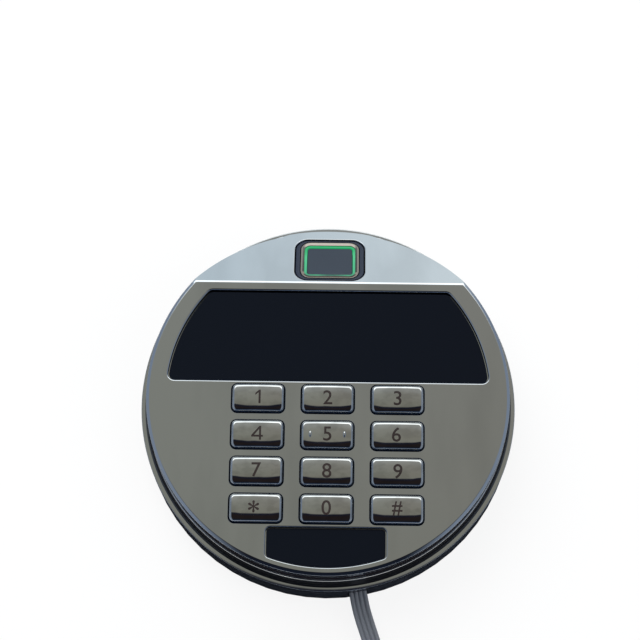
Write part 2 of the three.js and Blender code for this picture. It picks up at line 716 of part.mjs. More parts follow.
// Flex from the back of the sensor board down to the top of the main board
function makeFlex() {
  const half = flexThickness / 2;
  const boardSide = sensorBoardBottom - pieceGap - half;
  const upper = [sensorBoardLow + flexOverlap, sensorBoardLow].map((up) =>
    new THREE.Vector3(0, up, boardSide).applyMatrix4(facetPlace),
  );
  const lowZ = boardTopZ + pieceGap + half;
  const line = [
    ...upper.map((point) => new THREE.Vector2(point.y, point.z)),
    new THREE.Vector2(boardTopEdgeY, lowZ),
    new THREE.Vector2(boardTopEdgeY - flexOverlap, lowZ),
  ];
  const left = [];
  const right = [];
  line.forEach((point, i) => {
    const before = line[Math.max(i - 1, 0)];
    const after = line[Math.min(i + 1, line.length - 1)];
    const along = after.clone().sub(before).normalize();
    const across = new THREE.Vector2(-along.y, along.x).multiplyScalar(half);
    left.push(point.clone().add(across));
    right.unshift(point.clone().sub(across));
  });
  const strip = new THREE.Shape([...left, ...right]);
  const geometry = new THREE.ExtrudeGeometry(strip, { depth: flexWidth, bevelEnabled: false });
  geometry.translate(0, 0, -flexWidth / 2);
  const axes = new THREE.Matrix4().makeBasis(
    new THREE.Vector3(0, 1, 0),
    new THREE.Vector3(0, 0, 1),
    new THREE.Vector3(1, 0, 0),
  );
  return geometry.applyMatrix4(axes);
}
placeMesh('sensor_flex', makeFlex(), amberFilm);

// Base: wall, floor, collar round the cable hole, ribs, bosses of the door screws, hooks and the clamp's post
function makeHook() {
  const outer = skirtInnerRadius - pieceGap;
  const barbBottom = skirtBottomZ + skirtBar + pieceGap;
  const barbTop = barbBottom + hookBarbHeight;
  const outline = new THREE.Shape();
  outline.moveTo(outer - hookThickness, floorTopZ - pieceGap);
  outline.lineTo(outer, floorTopZ - pieceGap);
  outline.lineTo(outer, barbBottom);
  outline.lineTo(outer + hookBarb, barbBottom);
  outline.lineTo(outer + hookBarb, barbBottom + hookBarbHeight / 3);
  outline.lineTo(outer, barbTop);
  outline.lineTo(outer - hookThickness, barbTop);
  const geometry = new THREE.ExtrudeGeometry(outline, { depth: hookWidth, bevelEnabled: false });
  return geometry.translate(0, 0, -hookWidth / 2).rotateX(Math.PI / 2);
}

const clampHalf = cableThickness / 2 + pieceGap + clampWall;
const clampMiddle = clampReach + clampLength / 2;
const exitRun = Math.cos(exitSlopeDegrees * degree);

function makeBase() {
  const top = baseTopZ;
  const collarRadius = cableHoleRadius + collarWall;
  const rimInner = overallRadius - rimWidth;
  let base = solidOf(
    turned([
      [cableHoleRadius, 0],
      [collarRadius, 0],
      [collarRadius, backRecess],
      [rimInner, backRecess],
      [rimInner, 0],
      ...quarterRound(overallRadius - baseEdgeRound, baseEdgeRound, baseEdgeRound, -90, 0, 1),
      [overallRadius, top],
      [baseInnerRadius, top],
      [baseInnerRadius, floorTopZ],
      [cableHoleRadius, floorTopZ],
      [cableHoleRadius, 0],
    ]),
  );
  for (const angle of ribDegrees) {
    const inner = collarRadius - pieceGap;
    const rib = block(inner, rimInner + pieceGap, -ribThickness / 2, ribThickness / 2, ribInset, floorTopZ - ribInset);
    base = joinAll(base, aroundAxis(rib, angle));
  }
  for (const side of [-1, 1]) {
    const x = (side * doorScrewSpacing) / 2;
    base = joinAll(base, post(doorScrewBossRadius, x, 0, 0, floorTopZ + ribInset, 20));
    base = cutAll(base, post(doorScrewHoleRadius, x, 0, -cutOverrun, floorTopZ + cutOverrun, 16));
  }
  for (const angle of hookAngles) {
    base = joinAll(base, aroundAxis(makeHook(), angle));
  }
  const postHalf = clampWidth / 2;
  const postFar = overallRadius - clampReach * exitRun;
  const postNear = postFar - clampLength;
  const clampPost = block(-postHalf, postHalf, -postFar, -postNear, floorTopZ - pieceGap, shellLipZ);
  const above = block(-postFar, postFar, -postFar, postFar, -clampHalf - pieceGap, postFar);
  const bite = clampHalf + pieceGap + clampScrewBite;
  const bore = post(clampScrewRadius + pieceGap, 0, 0, -bite, cutOverrun, 10);
  bore.translate(clampScrewOffset, clampMiddle, 0);
  let stand = cutAll(solidOf(aroundAxis(clampPost, exitDegrees)), above.applyMatrix4(exitPlace));
  stand = cutAll(stand, bore.applyMatrix4(exitPlace));
  base = base.add(stand);
  const slotHalf = cableWidth / 2 + pieceGap;
  const slotEnd = rimInner - pieceGap;
  const slotTop = exitHeight + cableThickness / 2 + slotHeadroom;
  const slot = block(-slotHalf, slotHalf, -overallRadius - cutOverrun, -slotEnd, -cutOverrun, slotTop);
  return geometryOf(cutAll(base, aroundAxis(slot, exitDegrees)));
}
placeMesh('base_body', makeBase(), basePlastic);

// Battery trays, cells and contacts. In each tray the outer cell's plus end and the inner cell's minus end face +X.
const cellOffset = cellRadius + pieceGap / 2;
const contactBottomZ = trayBottomZ + trayFloor + pieceGap;
const contactX = trayInnerLength / 2 - pieceGap - contactThickness;

function makeTray(centreY) {
  const x = trayInnerLength / 2;
  const y = trayInnerDepth / 2;
  const top = trayBottomZ + trayHeight;
  const outer = block(-x - trayWall, x + trayWall, centreY - y - trayWall, centreY + y + trayWall, trayBottomZ, top);
  const inner = block(-x, x, centreY - y, centreY + y, trayBottomZ + trayFloor, top + cutOverrun);
  return geometryOf(cutAll(solidOf(outer), inner));
}

function makeCell(turn) {
  const half = cellLength / 2;
  const bodyTop = half - cellNubHeight;
  const geometry = turned(
    [
      [0, -half],
      [cellRadius, -half],
      [cellRadius, bodyTop],
      [cellNubRadius, bodyTop],
      [cellNubRadius, half],
      [0, half],
    ],
    20,
  );
  return geometry.rotateY((turn * Math.PI) / 2);
}

// A contact plate at one end of a tray, with a spring over each minus end and a tab up to the board.
function makeContact(side, width, springs, tabbed) {
  const x0 = side > 0 ? contactX : -contactX - contactThickness;
  const x1 = x0 + contactThickness;
  const height = contactBottomZ + contactHeight;
  let plate = solidOf(block(x0, x1, -width / 2, width / 2, contactBottomZ, height));
  for (const y of springs) {
    const cone = new THREE.CylinderGeometry(springTipRadius, springRadius, springLength, 12);
    const sink = contactThickness / 2;
    cone.rotateZ((side * Math.PI) / 2).translate(side * (contactX + sink - springLength / 2), y, cellZ);
    plate = joinAll(plate, cone);
  }
  if (tabbed) {
    const half = contactTabWidth / 2;
    plate = joinAll(plate, block(x0, x1, -half, half, height - contactThickness, underBoardZ));
  }
  return geometryOf(plate);
}
['upper', 'lower'].forEach((level, i) => {
  const side = i === 0 ? 1 : -1;
  const centreY = side * trayCentreY;
  const outerY = centreY + side * cellOffset;
  const innerY = centreY - side * cellOffset;
  placeMesh(`battery_tray_${level}`, makeTray(centreY), blackPlastic);
  const shift = springReach / 2;
  placeMesh(`battery_${2 * i + 1}`, makeCell(1), cellWrap).position.set(shift, outerY, cellZ);
  placeMesh(`battery_${2 * i + 2}`, makeCell(-1), cellWrap).position.set(-shift, innerY, cellZ);
  const bridgeWidth = 2 * cellOffset + contactWidth;
  const bridge = makeContact(-1, bridgeWidth, [side * cellOffset], false);
  placeMesh(`bridge_contact_${level}`, bridge, steel).position.y = centreY;
  placeMesh(`plus_contact_${level}`, makeContact(1, contactWidth, [], true), steel).position.y = outerY;
  placeMesh(`minus_contact_${level}`, makeContact(1, contactWidth, [0], true), steel).position.y = innerY;
});

// Socket of the lead on the board, the lead's inner stretch, and the clamp that holds it
function makeSocket() {
  const near = -overallRadius + socketFaceReach;
  const far = near + socketLength;
  const cableZ = exitHeight + socketFaceReach * Math.tan(exitSlopeDegrees * degree);
  const noseZ = clampHalf + pieceGap;
  const drop = cableZ - noseZ - socketLip;
  const header = block(-socketWidth / 2, socketWidth / 2, near + plugNose, far, drop, underBoardZ);
  const noseX = socketWidth / 2 - plugNose;
  const nose = block(-noseX, noseX, near, near + plugNose + pieceGap, cableZ - noseZ, cableZ + noseZ);
  return geometryOf(joinAll(solidOf(header), nose));
}
placeMesh('board_socket', makeSocket(), whiteNylon, exitTurn);

function flatSection(width, thickness, edge) {
  const x = width / 2;
  const y = thickness / 2;
  const corners = [
    [x, 0],
    [x - edge, y],
    [edge - x, y],
    [-x, 0],
    [edge - x, -y],
    [x - edge, -y],
  ];
  return new THREE.Shape(corners.map(([a, b]) => new THREE.Vector2(a, b)));
}

// The straight inner stretch lies in the exit's frame, its ends square to the socket and to the free lead.
const innerCableFar = socketFaceReach / exitRun - 2 * pieceGap;
const innerCable = new THREE.ExtrudeGeometry(flatSection(cableWidth, cableThickness, cableEdge), {
  depth: innerCableFar - clampReach,
  bevelEnabled: false,
});
innerCable.rotateX(-Math.PI / 2);
placeMesh('cable_inner', innerCable.translate(0, clampReach, 0), cableGrey, exitLine);

function makeClamp() {
  const far = clampReach + clampLength;
  const x = clampWidth / 2;
  const slotX = cableWidth / 2 + pieceGap;
  const slotZ = cableThickness / 2 + pieceGap;
  const bar = solidOf(block(-x, x, clampReach, far, -clampHalf, clampHalf));
  const slot = block(-slotX, slotX, clampReach - cutOverrun, far + cutOverrun, -slotZ, slotZ);
  const reach = clampHalf + cutOverrun;
  const bore = post(clampScrewRadius + pieceGap, clampScrewOffset, clampMiddle, -reach, reach, 10);
  return geometryOf(cutAll(bar, slot, bore));
}
placeMesh('cable_clamp', makeClamp(), blackPlastic, exitLine);
const clampScrewLength = 2 * clampHalf + 2 * pieceGap + clampScrewBite - pieceGap;
const clampScrew = makeScrew(clampScrewRadius, clampScrewHeadRadius, clampScrewHeadHeight, clampScrewLength);
clampScrew.rotateX(Math.PI).translate(clampScrewOffset, clampMiddle, clampHalf + pieceGap);
placeMesh('clamp_screw', clampScrew, steel, exitLine);

// The free lead and its coil: an extruded section whose steps are laid along a route, turned on edge as it says.
function layAlong(section, stations) {
  const steps = stations.length - 1;
  const geometry = new THREE.ExtrudeGeometry(section, { depth: steps, steps, bevelEnabled: false });
  const place = geometry.attributes.position;
  const point = new THREE.Vector3();
  for (let i = 0; i < place.count; i += 1) {
    const { at, wide, thick } = stations[Math.round(place.getZ(i))];
    point.copy(at).addScaledVector(wide, place.getX(i)).addScaledVector(thick, place.getY(i));
    place.setXYZ(i, point.x, point.y, point.z);
  }
  geometry.deleteAttribute('uv');
  geometry.computeVertexNormals();
  return geometry;
}

// Where each station lies, and the directions of the cable's width and thickness there.
function stationsOf(points, edgeShareAt) {
  return points.map((at, i) => {
    const before = points[Math.max(i - 1, 0)];
    const after = points[Math.min(i + 1, points.length - 1)];
    const along = after.clone().sub(before).normalize();
    const side = new THREE.Vector3(along.y, -along.x, 0).normalize();
    const turn = (edgeShareAt(i / (points.length - 1)) * Math.PI) / 2;
    const up = new THREE.Vector3().crossVectors(side, along);
    const wide = side.clone().multiplyScalar(Math.cos(turn)).addScaledVector(up, Math.sin(turn));
    const thick = up.clone().multiplyScalar(Math.cos(turn)).addScaledVector(side, -Math.sin(turn));
    return { at, wide: wide.multiplyScalar(-1), thick };
  });
}

function eased(share) {
  const held = Math.min(Math.max(share, 0), 1);
  return held * held * (3 - 2 * held);
}

const exitPoint = new THREE.Vector3(0, 0, 0).applyMatrix4(exitPlace);
const leadPoints = leadRoute.map(([x, y, z]) => new THREE.Vector3(x, y, z).add(exitPoint));
const leadCurve = new THREE.CatmullRomCurve3(leadPoints, false, 'centripetal');
const leadStations = stationsOf(leadCurve.getSpacedPoints(leadSteps), (share) =>
  eased((share - twistStartShare) / (1 - twistStartShare)),
);
const cableSection = flatSection(cableWidth, cableThickness, cableEdge);
placeMesh('cable_lead', layAlong(cableSection, leadStations), cableGrey);

// Coil: straight for one width, then inwards at a steady rate, then a tighter arc to the connector inside the ring.
const coilZ = coilLift + cableWidth / 2;

function onCircle(centreX, centreY, radius, angle) {
  const x = centreX + radius * Math.cos(angle);
  const y = centreY + radius * Math.sin(angle);
  return new THREE.Vector3(x, y, coilZ);
}

function clockwise(angle) {
  return new THREE.Vector3(Math.sin(angle), -Math.cos(angle), 0);
}
const coilStart = coilStartDegrees * degree;
const coilEnd = coilStart - coilTurns * 2 * Math.PI;
const coilInnerRadius = coilOuterRadius - coilTurns * coilPitch;
const tailEnd = coilEnd - tailDegrees * degree;
const leadEnd = leadPoints[leadPoints.length - 1];
const entry = leadEnd.clone().addScaledVector(clockwise(coilStart), cableWidth);
const coilCentreX = entry.x - coilOuterRadius * Math.cos(coilStart);
const coilCentreY = entry.y - coilOuterRadius * Math.sin(coilStart);
const coilPoints = [entry.clone().addScaledVector(clockwise(coilStart), pieceGap - cableWidth)];
const windingSteps = Math.round(coilTurns * coilStepsPerTurn);
for (let i = 0; i <= windingSteps; i += 1) {
  const share = i / windingSteps;
  const radius = coilOuterRadius - coilTurns * coilPitch * share;
  coilPoints.push(onCircle(coilCentreX, coilCentreY, radius, coilStart + (coilEnd - coilStart) * share));
}
const tailCentre = onCircle(coilCentreX, coilCentreY, coilInnerRadius - tailRadius, coilEnd);
const tailDrop = coilZ - connectorHeight / 2;
for (let i = 1; i <= tailSteps; i += 1) {
  const angle = coilEnd + ((tailEnd - coilEnd) * i) / tailSteps;
  const point = onCircle(tailCentre.x, tailCentre.y, tailRadius, angle);
  point.z -= tailDrop * eased(i / (tailSteps - 1));
  coilPoints.push(point);
}
const tailPoint = coilPoints[coilPoints.length - 1];
const tailHeading = clockwise(tailEnd);
coilPoints.push(tailPoint.clone().addScaledVector(tailHeading, cableWidth));
const tailShare = tailSteps / (coilPoints.length - 1);
const coilStations = stationsOf(coilPoints, (share) => 1 - eased((share - 1 + tailShare) / (tailShare * 0.9)));
placeMesh('cable_coil', layAlong(cableSection, coilStations), cableGrey);

// Least gap between turns: from each corner of the section to the edge lines at least half a turn further on.
function leastGapBetweenTurns() {
  const place = cableSection.getPoints();
  const corners = coilStations.map(({ at, wide, thick }) =>
    place.map((p) => at.clone().addScaledVector(wide, p.x).addScaledVector(thick, p.y)),
  );
  const edge = new THREE.Line3();
  const nearest = new THREE.Vector3();
  let least = Infinity;
  corners.forEach((ring, i) => {
    for (let k = i + coilStepsPerTurn / 2; k < corners.length - 1; k += 1) {
      for (const corner of ring) {
        for (let j = 0; j < place.length; j += 1) {
          edge.set(corners[k][j], corners[k + 1][j]).closestPointToPoint(corner, true, nearest);
          least = Math.min(least, nearest.distanceTo(corner));
        }
      }
    }
  });
  return least;
}
console.log(`cable_coil: least gap to itself ${leastGapBetweenTurns().toFixed(2)}, wanted over ${leastSelfGap}`);

// Tie round the turns
const tieAngle = tieDegrees * degree;

function radiusAt(angle) {
  const turns = (coilStart - angle) / (2 * Math.PI);
  return coilOuterRadius - turns * coilPitch;
}
const tieOuterTurn = radiusAt(tieAngle - 2 * Math.PI);
const tieInnerTurn = radiusAt(tieAngle - 4 * Math.PI);
const tieOut = tieOuterTurn + cableThickness / 2 + pieceGap;
const tieIn = tieInnerTurn - cableThickness / 2 - pieceGap;
const tieTop = coilLift + cableWidth + pieceGap;
const tieHalf = tieWidth / 2;
const band = block(tieIn - tieThickness, tieOut + tieThickness, -tieHalf, tieHalf, 0, tieTop + tieThickness);
const tieBore = block(tieIn, tieOut, -tieHalf - cutOverrun, tieHalf + cutOverrun, tieThickness, tieTop);
const tieMiddleZ = (tieTop + tieThickness) / 2;
const tieHead = block(
  tieOut + tieThickness / 2,
  tieOut + tieThickness + tieHeadLength,
  -tieHeadDepth / 2,
  tieHeadDepth / 2,
  tieMiddleZ - tieHeadDepth / 2,
  tieMiddleZ + tieHeadDepth / 2,
);
const tie = geometryOf(joinAll(cutAll(solidOf(band), tieBore), tieHead));
placeMesh('coil_tie', aroundAxis(tie, tieDegrees).translate(coilCentreX, coilCentreY, 0), blackPlastic);

// Four-way connector on the end of the lead, lying inside the coil
function makeConnector() {
  const half = connectorWidth / 2;
  const noseHalf = half * connectorNoseShare;
  const body = solidOf(block(-half, half, 0, connectorLength - connectorNoseLength, 0, connectorHeight));
  const noseBottom = connectorHeight * (1 - connectorNoseShare);
  const noseStart = connectorLength - connectorNoseLength - pieceGap;
  let housing = joinAll(body, block(-noseHalf, noseHalf, noseStart, connectorLength, noseBottom, connectorHeight));
  const middle = connectorHeight - (connectorHeight - noseBottom) / 2;
  const size = connectorPinSize / 2;
  for (let i = 0; i < connectorPinCount; i += 1) {
    const x = (i - (connectorPinCount - 1) / 2) * connectorPinPitch * connectorNoseShare;
    const start = connectorLength - connectorPinDepth;
    const well = block(x - size, x + size, start, connectorLength + cutOverrun, middle - size, middle + size);
    housing = cutAll(housing, well);
  }
  return geometryOf(housing);
}
const connector = placeMesh('cable_connector', makeConnector(), whiteNylon);
const connectorPlace = tailPoint.clone().addScaledVector(tailHeading, cableWidth + pieceGap);
connector.position.set(connectorPlace.x, connectorPlace.y, 0);
connector.rotation.z = Math.atan2(-tailHeading.x, tailHeading.y);

export default keypadUnit;
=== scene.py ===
import bpy
import bmesh
import math
from mathutils import Matrix, Vector


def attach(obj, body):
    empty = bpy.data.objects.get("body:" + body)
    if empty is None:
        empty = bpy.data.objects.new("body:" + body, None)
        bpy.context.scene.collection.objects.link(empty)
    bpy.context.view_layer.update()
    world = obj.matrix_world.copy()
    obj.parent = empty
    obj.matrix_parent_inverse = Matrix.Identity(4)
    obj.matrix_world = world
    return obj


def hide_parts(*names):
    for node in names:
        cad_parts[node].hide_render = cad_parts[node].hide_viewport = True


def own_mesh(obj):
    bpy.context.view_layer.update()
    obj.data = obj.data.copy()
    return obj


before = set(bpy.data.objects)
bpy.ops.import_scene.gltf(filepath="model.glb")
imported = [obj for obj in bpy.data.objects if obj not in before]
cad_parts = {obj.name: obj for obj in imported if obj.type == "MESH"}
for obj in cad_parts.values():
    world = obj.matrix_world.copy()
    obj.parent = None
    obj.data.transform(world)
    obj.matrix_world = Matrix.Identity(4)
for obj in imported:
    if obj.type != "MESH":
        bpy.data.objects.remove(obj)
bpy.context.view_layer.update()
mm = 0.001
weld = 1e-6  # vertices closer than this become one
hair = 1e-7  # and places closer than this are the same
slack = 0.01  # millimetres that a comparison of heights allows
planar = 5e-5  # metres off a plane that still count as in it
straight = 1e-4  # share by which a normal may miss its direction
root = "housing"
scene = bpy.context.scene
up = Vector((0, 0, 1))
quarter = math.pi / 2

# Sizes that several pieces share, in millimetres in the frame of the unit
unit = {"faceZ": 26.5, "gap": 0.3, "turnSteps": 232, "creaseY": 33.8, "facetDegrees": 27.0, "exitDegrees": 9.85}
facetTilt = math.radians(unit["facetDegrees"])
facetPlace = (Matrix.Translation((0, unit["creaseY"] * mm, unit["faceZ"] * mm))
              @ Matrix.Rotation(-facetTilt, 4, "X"))
facetNormal = facetPlace.to_3x3() @ up
print("frame loaded:", len(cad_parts), "nodes")

# Camera, as the photo was taken: looking down on the face from the side of the keys
view = {"focalPixels": 1964.56, "imagePixels": 640, "sensor": 36.0, "clipStart": 0.01, "tilt": 16.272, "turn": 0.609,
        "roll": 0.707, "right": -2.263, "up": 21.466, "away": 566.23}
cameraData = bpy.data.cameras.new("camera")
cameraData.sensor_width = view["sensor"]
cameraData.lens = view["focalPixels"] / view["imagePixels"] * view["sensor"]
cameraData.clip_start = view["clipStart"]
camera = bpy.data.objects.new("camera", cameraData)
scene.collection.objects.link(camera)
cameraTurn = (Matrix.Rotation(math.radians(view["tilt"]), 4, "X")
              @ Matrix.Rotation(math.radians(view["turn"]), 4, "Y")
              @ Matrix.Rotation(math.radians(view["roll"]), 4, "Z"))
cameraPlace = cameraTurn @ Vector([view[k] * mm for k in ("right", "up", "away")])
camera.matrix_world = Matrix.Translation(cameraPlace + Vector((0, 0, unit["faceZ"] * mm))) @ cameraTurn
scene.camera = camera


# sRGB hex to linear, at a share of its strength
def hexColor(text, strength=1.0):
    shares = [int(text[i:i + 2], 16) / 255 for i in (0, 2, 4)]
    return [strength * (s / 12.92 if s <= 0.04045 else ((s + 0.055) / 1.055) ** 2.4) for s in shares] + [1.0]


# A node with its settings, its inputs, the stops of its ramp and the socket that it feeds. An input is a value, a hex
# colour, a socket or a node, and a stop is a position, a hex colour and maybe a strength
def addNode(tree, kind, inputs=None, stops=(), to=None, **settings):
    made = tree.nodes.new("ShaderNode" + kind)
    for name, value in settings.items():
        setattr(made, name, value)
    for name, value in (inputs or {}).items():
        if isinstance(value, bpy.types.Node):
            value = value.outputs[0]
        if isinstance(value, bpy.types.NodeSocket):
            tree.links.new(value, made.inputs[name])
        else:
            made.inputs[name].default_value = hexColor(value) if isinstance(value, str) else value
    if stops:
        while len(made.color_ramp.elements) < len(stops):
            made.color_ramp.elements.new(1.0)
        for element, (position, *color) in zip(made.color_ramp.elements, stops):
            element.position = position
            element.color = hexColor(*color)
    if to:
        tree.links.new(made.outputs[0], to)
    return made


def startMaterial(name, color, metallic, roughness, **sockets):
    material = bpy.data.materials.new(name)
    material.use_nodes = True
    tree = material.node_tree
    tree.nodes.clear()
    output = addNode(tree, "OutputMaterial")
    shader = addNode(tree, "BsdfPrincipled", {"Base Color": color, "Metallic": metallic, "Roughness": roughness,
                                              **sockets}, to=output.inputs["Surface"])
    return material, tree, shader, addNode(tree, "TexCoord").outputs["Object"]


# Relief of a real size and height in millimetres
def addRelief(tree, shader, place, size, height, strength, detail):
    grain = addNode(tree, "TexNoise", {"Vector": place, "Scale": 1 / (size * mm), "Detail": detail})
    addNode(tree, "Bump", {"Height": grain, "Strength": strength, "Distance": height * mm},
            to=shader.inputs["Normal"])
    return grain


# Sizes in millimetres of the patterns that are no grain, about as wide as on the real pieces
patterns = {"wipeMarks": 6.25, "mouldingWaves": 100 / 3, "toneChange": 50 / 3, "wrapCreases": 10 / 7,
            "lightPatches": 50 / 11}


# Nickel-chrome plate on a die casting: a mirror with faint waves and a few soft wipe marks. filmSize is how far the
# marks reach in x, y and z in millimetres, and dull is the share of the brightness that they leave
def makeChromePlate(name, color, roughest, filmSize, dull, waveSize, waveStrength):
    material, tree, shader, place = startMaterial(name, color, 1.0, roughest)
    addRelief(tree, shader, place, waveSize, height=0.2, strength=waveStrength, detail=2.0)
    marks = addNode(tree, "TexNoise", {"Vector": place, "Scale": 1 / (patterns["wipeMarks"] * mm), "Detail": 6.0})
    addNode(tree, "MapRange", {"Value": marks, "From Min": 0.35, "From Max": 0.75, "To Min": roughest / 2,
                               "To Max": roughest}, to=shader.inputs["Roughness"])
    stretched = addNode(tree, "Mapping", {"Vector": place, "Scale": [1 / (s * mm) for s in filmSize]})
    film = addNode(tree, "TexNoise", {"Vector": stretched, "Scale": 1.0, "Detail": 3.0})
    addNode(tree, "ValToRGB", {"Fac": film}, [(0.38, color, dull), (0.56, color)], shader.inputs["Base Color"])
    return material


# Smoked acrylic: near black with a cold cast, polished, with hardly visible moulding waves
def makeSmokedAcrylic():
    material, tree, shader, place = startMaterial("smokedAcrylic", "06080E", 0.0, 0.04,
                                                  **{"IOR": 1.49, "Specular Tint": "B6CAF6"})
    addRelief(tree, shader, place, patterns["mouldingWaves"], height=0.2, strength=0.03, detail=1.0)
    return material


# Moulded plastics and rubbers: spark-eroded grain of a real size and height in millimetres, and a slow change of tone
def makeMoulded(name, color, roughness, grainSize, grainHeight, toneShare=0.06, **sockets):
    material, tree, shader, place = startMaterial(name, color, 0.0, roughness, **sockets)
    addRelief(tree, shader, place, grainSize, grainHeight, strength=0.5, detail=3.0)
    tone = addNode(tree, "TexNoise", {"Vector": place, "Scale": 1 / (patterns["toneChange"] * mm), "Detail": 2.0})
    addNode(tree, "ValToRGB", {"Fac": tone}, [(0.35, color, 1 - toneShare), (0.65, color, 1 + toneShare)],
            shader.inputs["Base Color"])
    return material


# Nickel-plated steel and satin nickel: metal with a fine tumbled grain that spreads its highlights
def makePlatedMetal(name, color, roughness, grainSize):
    material, tree, shader, place = startMaterial(name, color, 1.0, roughness)
    grain = addRelief(tree, shader, place, grainSize, height=0.01, strength=0.15, detail=4.0)
    addNode(tree, "MapRange", {"Value": grain, "From Min": 0.3, "From Max": 0.7, "To Min": roughness * 0.75,
                               "To Max": roughness * 1.3}, to=shader.inputs["Roughness"])
    return material


# Rows of copper under a coat: a lacquered circuit board, or an amber polyimide film
def makeCircuit(name, color, copper, pitch, roughness):
    material, tree, shader, place = startMaterial(name, color, 0.0, roughness)
    rowPitch = 0.314  # of the wave texture, at a scale of 1
    rows = addNode(tree, "TexWave", {"Vector": place, "Scale": rowPitch / (pitch * mm), "Distortion": 1.5,
                                     "Detail": 1.0, "Detail Scale": 0.6}).outputs["Fac"]
    addNode(tree, "ValToRGB", {"Fac": rows}, [(0.55, color), (0.7, copper)], shader.inputs["Base Color"])
    addNode(tree, "Bump", {"Height": rows, "Strength": 0.2, "Distance": 0.03 * mm}, to=shader.inputs["Normal"])
    return material


# Shrink wrap of printed PVC round a cell, with the bare steel can at both ends
def makeShrinkWrap(color="3B5F8A", steel="B9BABA", wrapEnd=21.2, fade=0.1):
    material, tree, shader, place = startMaterial("shrinkWrap", color, 0.0, 0.3)
    along = addNode(tree, "SeparateXYZ", {0: place}).outputs["X"]
    reach = addNode(tree, "Math", {0: along}, operation="ABSOLUTE")
    bare = addNode(tree, "MapRange", {"Value": reach, "From Min": wrapEnd * mm, "From Max": (wrapEnd + fade) * mm},
                   to=shader.inputs["Metallic"])
    addNode(tree, "ValToRGB", {"Fac": bare}, [(0.0, color), (1.0, steel)], shader.inputs["Base Color"])
    addRelief(tree, shader, place, patterns["wrapCreases"], height=0.02, strength=0.2, detail=3.0)
    return material


# Light guide of clear polycarbonate lit green from below, so its glow is its own light. Its brightness by height, most
# at its upper corners and fading at the foot, is painted light and shade
def makeGreenGuide(footY=36.5, topY=47.5):
    material, tree, shader, place = startMaterial("greenGuide", "123F2A", 0.0, 0.25, **{"Emission Strength": 1.0})
    height = addNode(tree, "SeparateXYZ", {0: place}).outputs["Y"]
    # Painted shade: the glow is made to fade towards the foot of the ring
    share = addNode(tree, "MapRange", {"Value": height, "From Min": footY * mm, "From Max": topY * mm})
    patches = addNode(tree, "TexNoise", {"Vector": place, "Scale": 1 / (patterns["lightPatches"] * mm), "Detail": 1.0})
    mixed = addNode(tree, "Math", {0: patches, 1: 0.3, 2: share}, operation="MULTIPLY_ADD")
    addNode(tree, "ValToRGB", {"Fac": mixed}, [(0.12, "23504A"), (0.3, "44A67A"), (0.75, "49B981"), (1.0, "209F60")],
            shader.inputs["Emission Color"])
    return material


chromePlate = makeChromePlate("chromePlate", "D3D6D7", roughest=0.09, filmSize=(16.7, 55.6, 33.3), dull=0.9,
                              waveSize=22.2, waveStrength=0.04)
keyChrome = makeChromePlate("keyChrome", "D2D3D0", roughest=0.05, filmSize=(3.6, 2.4, 3.0), dull=0.84,
                            waveSize=6.5, waveStrength=0.12)
smokedAcrylic = makeSmokedAcrylic()
satinNickel = makePlatedMetal("satinNickel", "9A9187", roughness=0.12, grainSize=0.2)
platedSteel = makePlatedMetal("platedSteel", "A3A5A6", roughness=0.32, grainSize=0.15)
# Here the numbers are roughness, grain size and grain height
keyGapShade = makeMoulded("keyGapShade", "303F55", 0.5, 0.4, 0.01)  # painted shade: dark navy that stands in for the shade in the gaps round the keys
blackAbs = makeMoulded("blackAbs", "141D2F", 0.32, 0.25, 0.004)  # satin black with a cold sheen
baseAbs = makeMoulded("baseAbs", "33363E", 0.42, 0.3, 0.01)  # dull charcoal with a soft highlight
blackRubber = makeMoulded("blackRubber", "141416", 0.28, 0.35, 0.006)  # deep black, faintly glossy where wiped
greyPvc = makeMoulded("greyPvc", "74777D", 0.38, 0.5, 0.012)  # soft mid grey, a little uneven as extruded
whiteNylon = makeMoulded("whiteNylon", "D6D5CB", 0.45, 0.4, 0.01)  # natural white, slightly yellow
slatePolycarbonate = makeMoulded("slatePolycarbonate", "232C38", 0.3, 0.15, 0.002)  # smooth dark slate
printedPaint = makeMoulded("printedPaint", "251A17", 0.6, 0.12, 0.001, 0.15)  # matt brown black, worn unevenly
panelGlass = makeMoulded("panelGlass", "20262C", 0.08, 1.0, 0.001)  # clear dark gloss
siliconeRubber = makeMoulded("siliconeRubber", "8C8F90", 0.6, 0.4, 0.006,
                             **{"Subsurface Weight": 0.1})  # milky grey that lets a little light in
greenBoard = makeCircuit("greenBoard", "1C5A3A", "2F7A50", pitch=2.54, roughness=0.35)
polyimideFilm = makeCircuit("polyimideFilm", "A8682C", "C98A48", pitch=1.0, roughness=0.3)
shrinkWrap = makeShrinkWrap()
greenGuide = makeGreenGuide()
print("materials: made")

# Cord: the lead's free stretch through listed points, as in the part, then the coil by its formula. The route is in
# metres
lead = {
    "width": 5.2, "thickness": 1.4, "cores": 4, "length": 0.505, "twistStart": 0.42, "untwistShare": 0.9,
    "bulgeStart": 20, "bulgeTurn": 140, "bulgeSteps": 6, "bulgeReach": 1.02,
    "route": [(0.00775, -0.04463, 0.00998), (0.00855, -0.04926, 0.00883), (0.00941, -0.05419, 0.0076),
              (0.01035, -0.0586, 0.0065), (0.01155, -0.0625, 0.00555), (0.01285, -0.0662, 0.00475),
              (0.0144, -0.0708, 0.0041), (0.0162, -0.0761, 0.0037), (0.018, -0.0814, 0.0035),
              (0.0195, -0.0858, 0.0035), (0.02074, -0.08947, 0.0035)],
    "coilX": -8.2, "coilY": -104.7, "coilZ": 3.5, "coilRadius": 32.3, "coilPitch": 2.05, "turns": 2.1,
    "coilStart": 18.6, "stepsPerTurn": 36, "joinShares": (0.66, 0.33), "tailRadius": 21.5, "tailDegrees": 125.0,
    "tailSteps": 18, "tailDrop": 0.6, "steps": 30, "stepsBetween": 16,
}


def eased(share):
    held = min(max(share, 0.0), 1.0)
    return held * held * (3 - 2 * held)
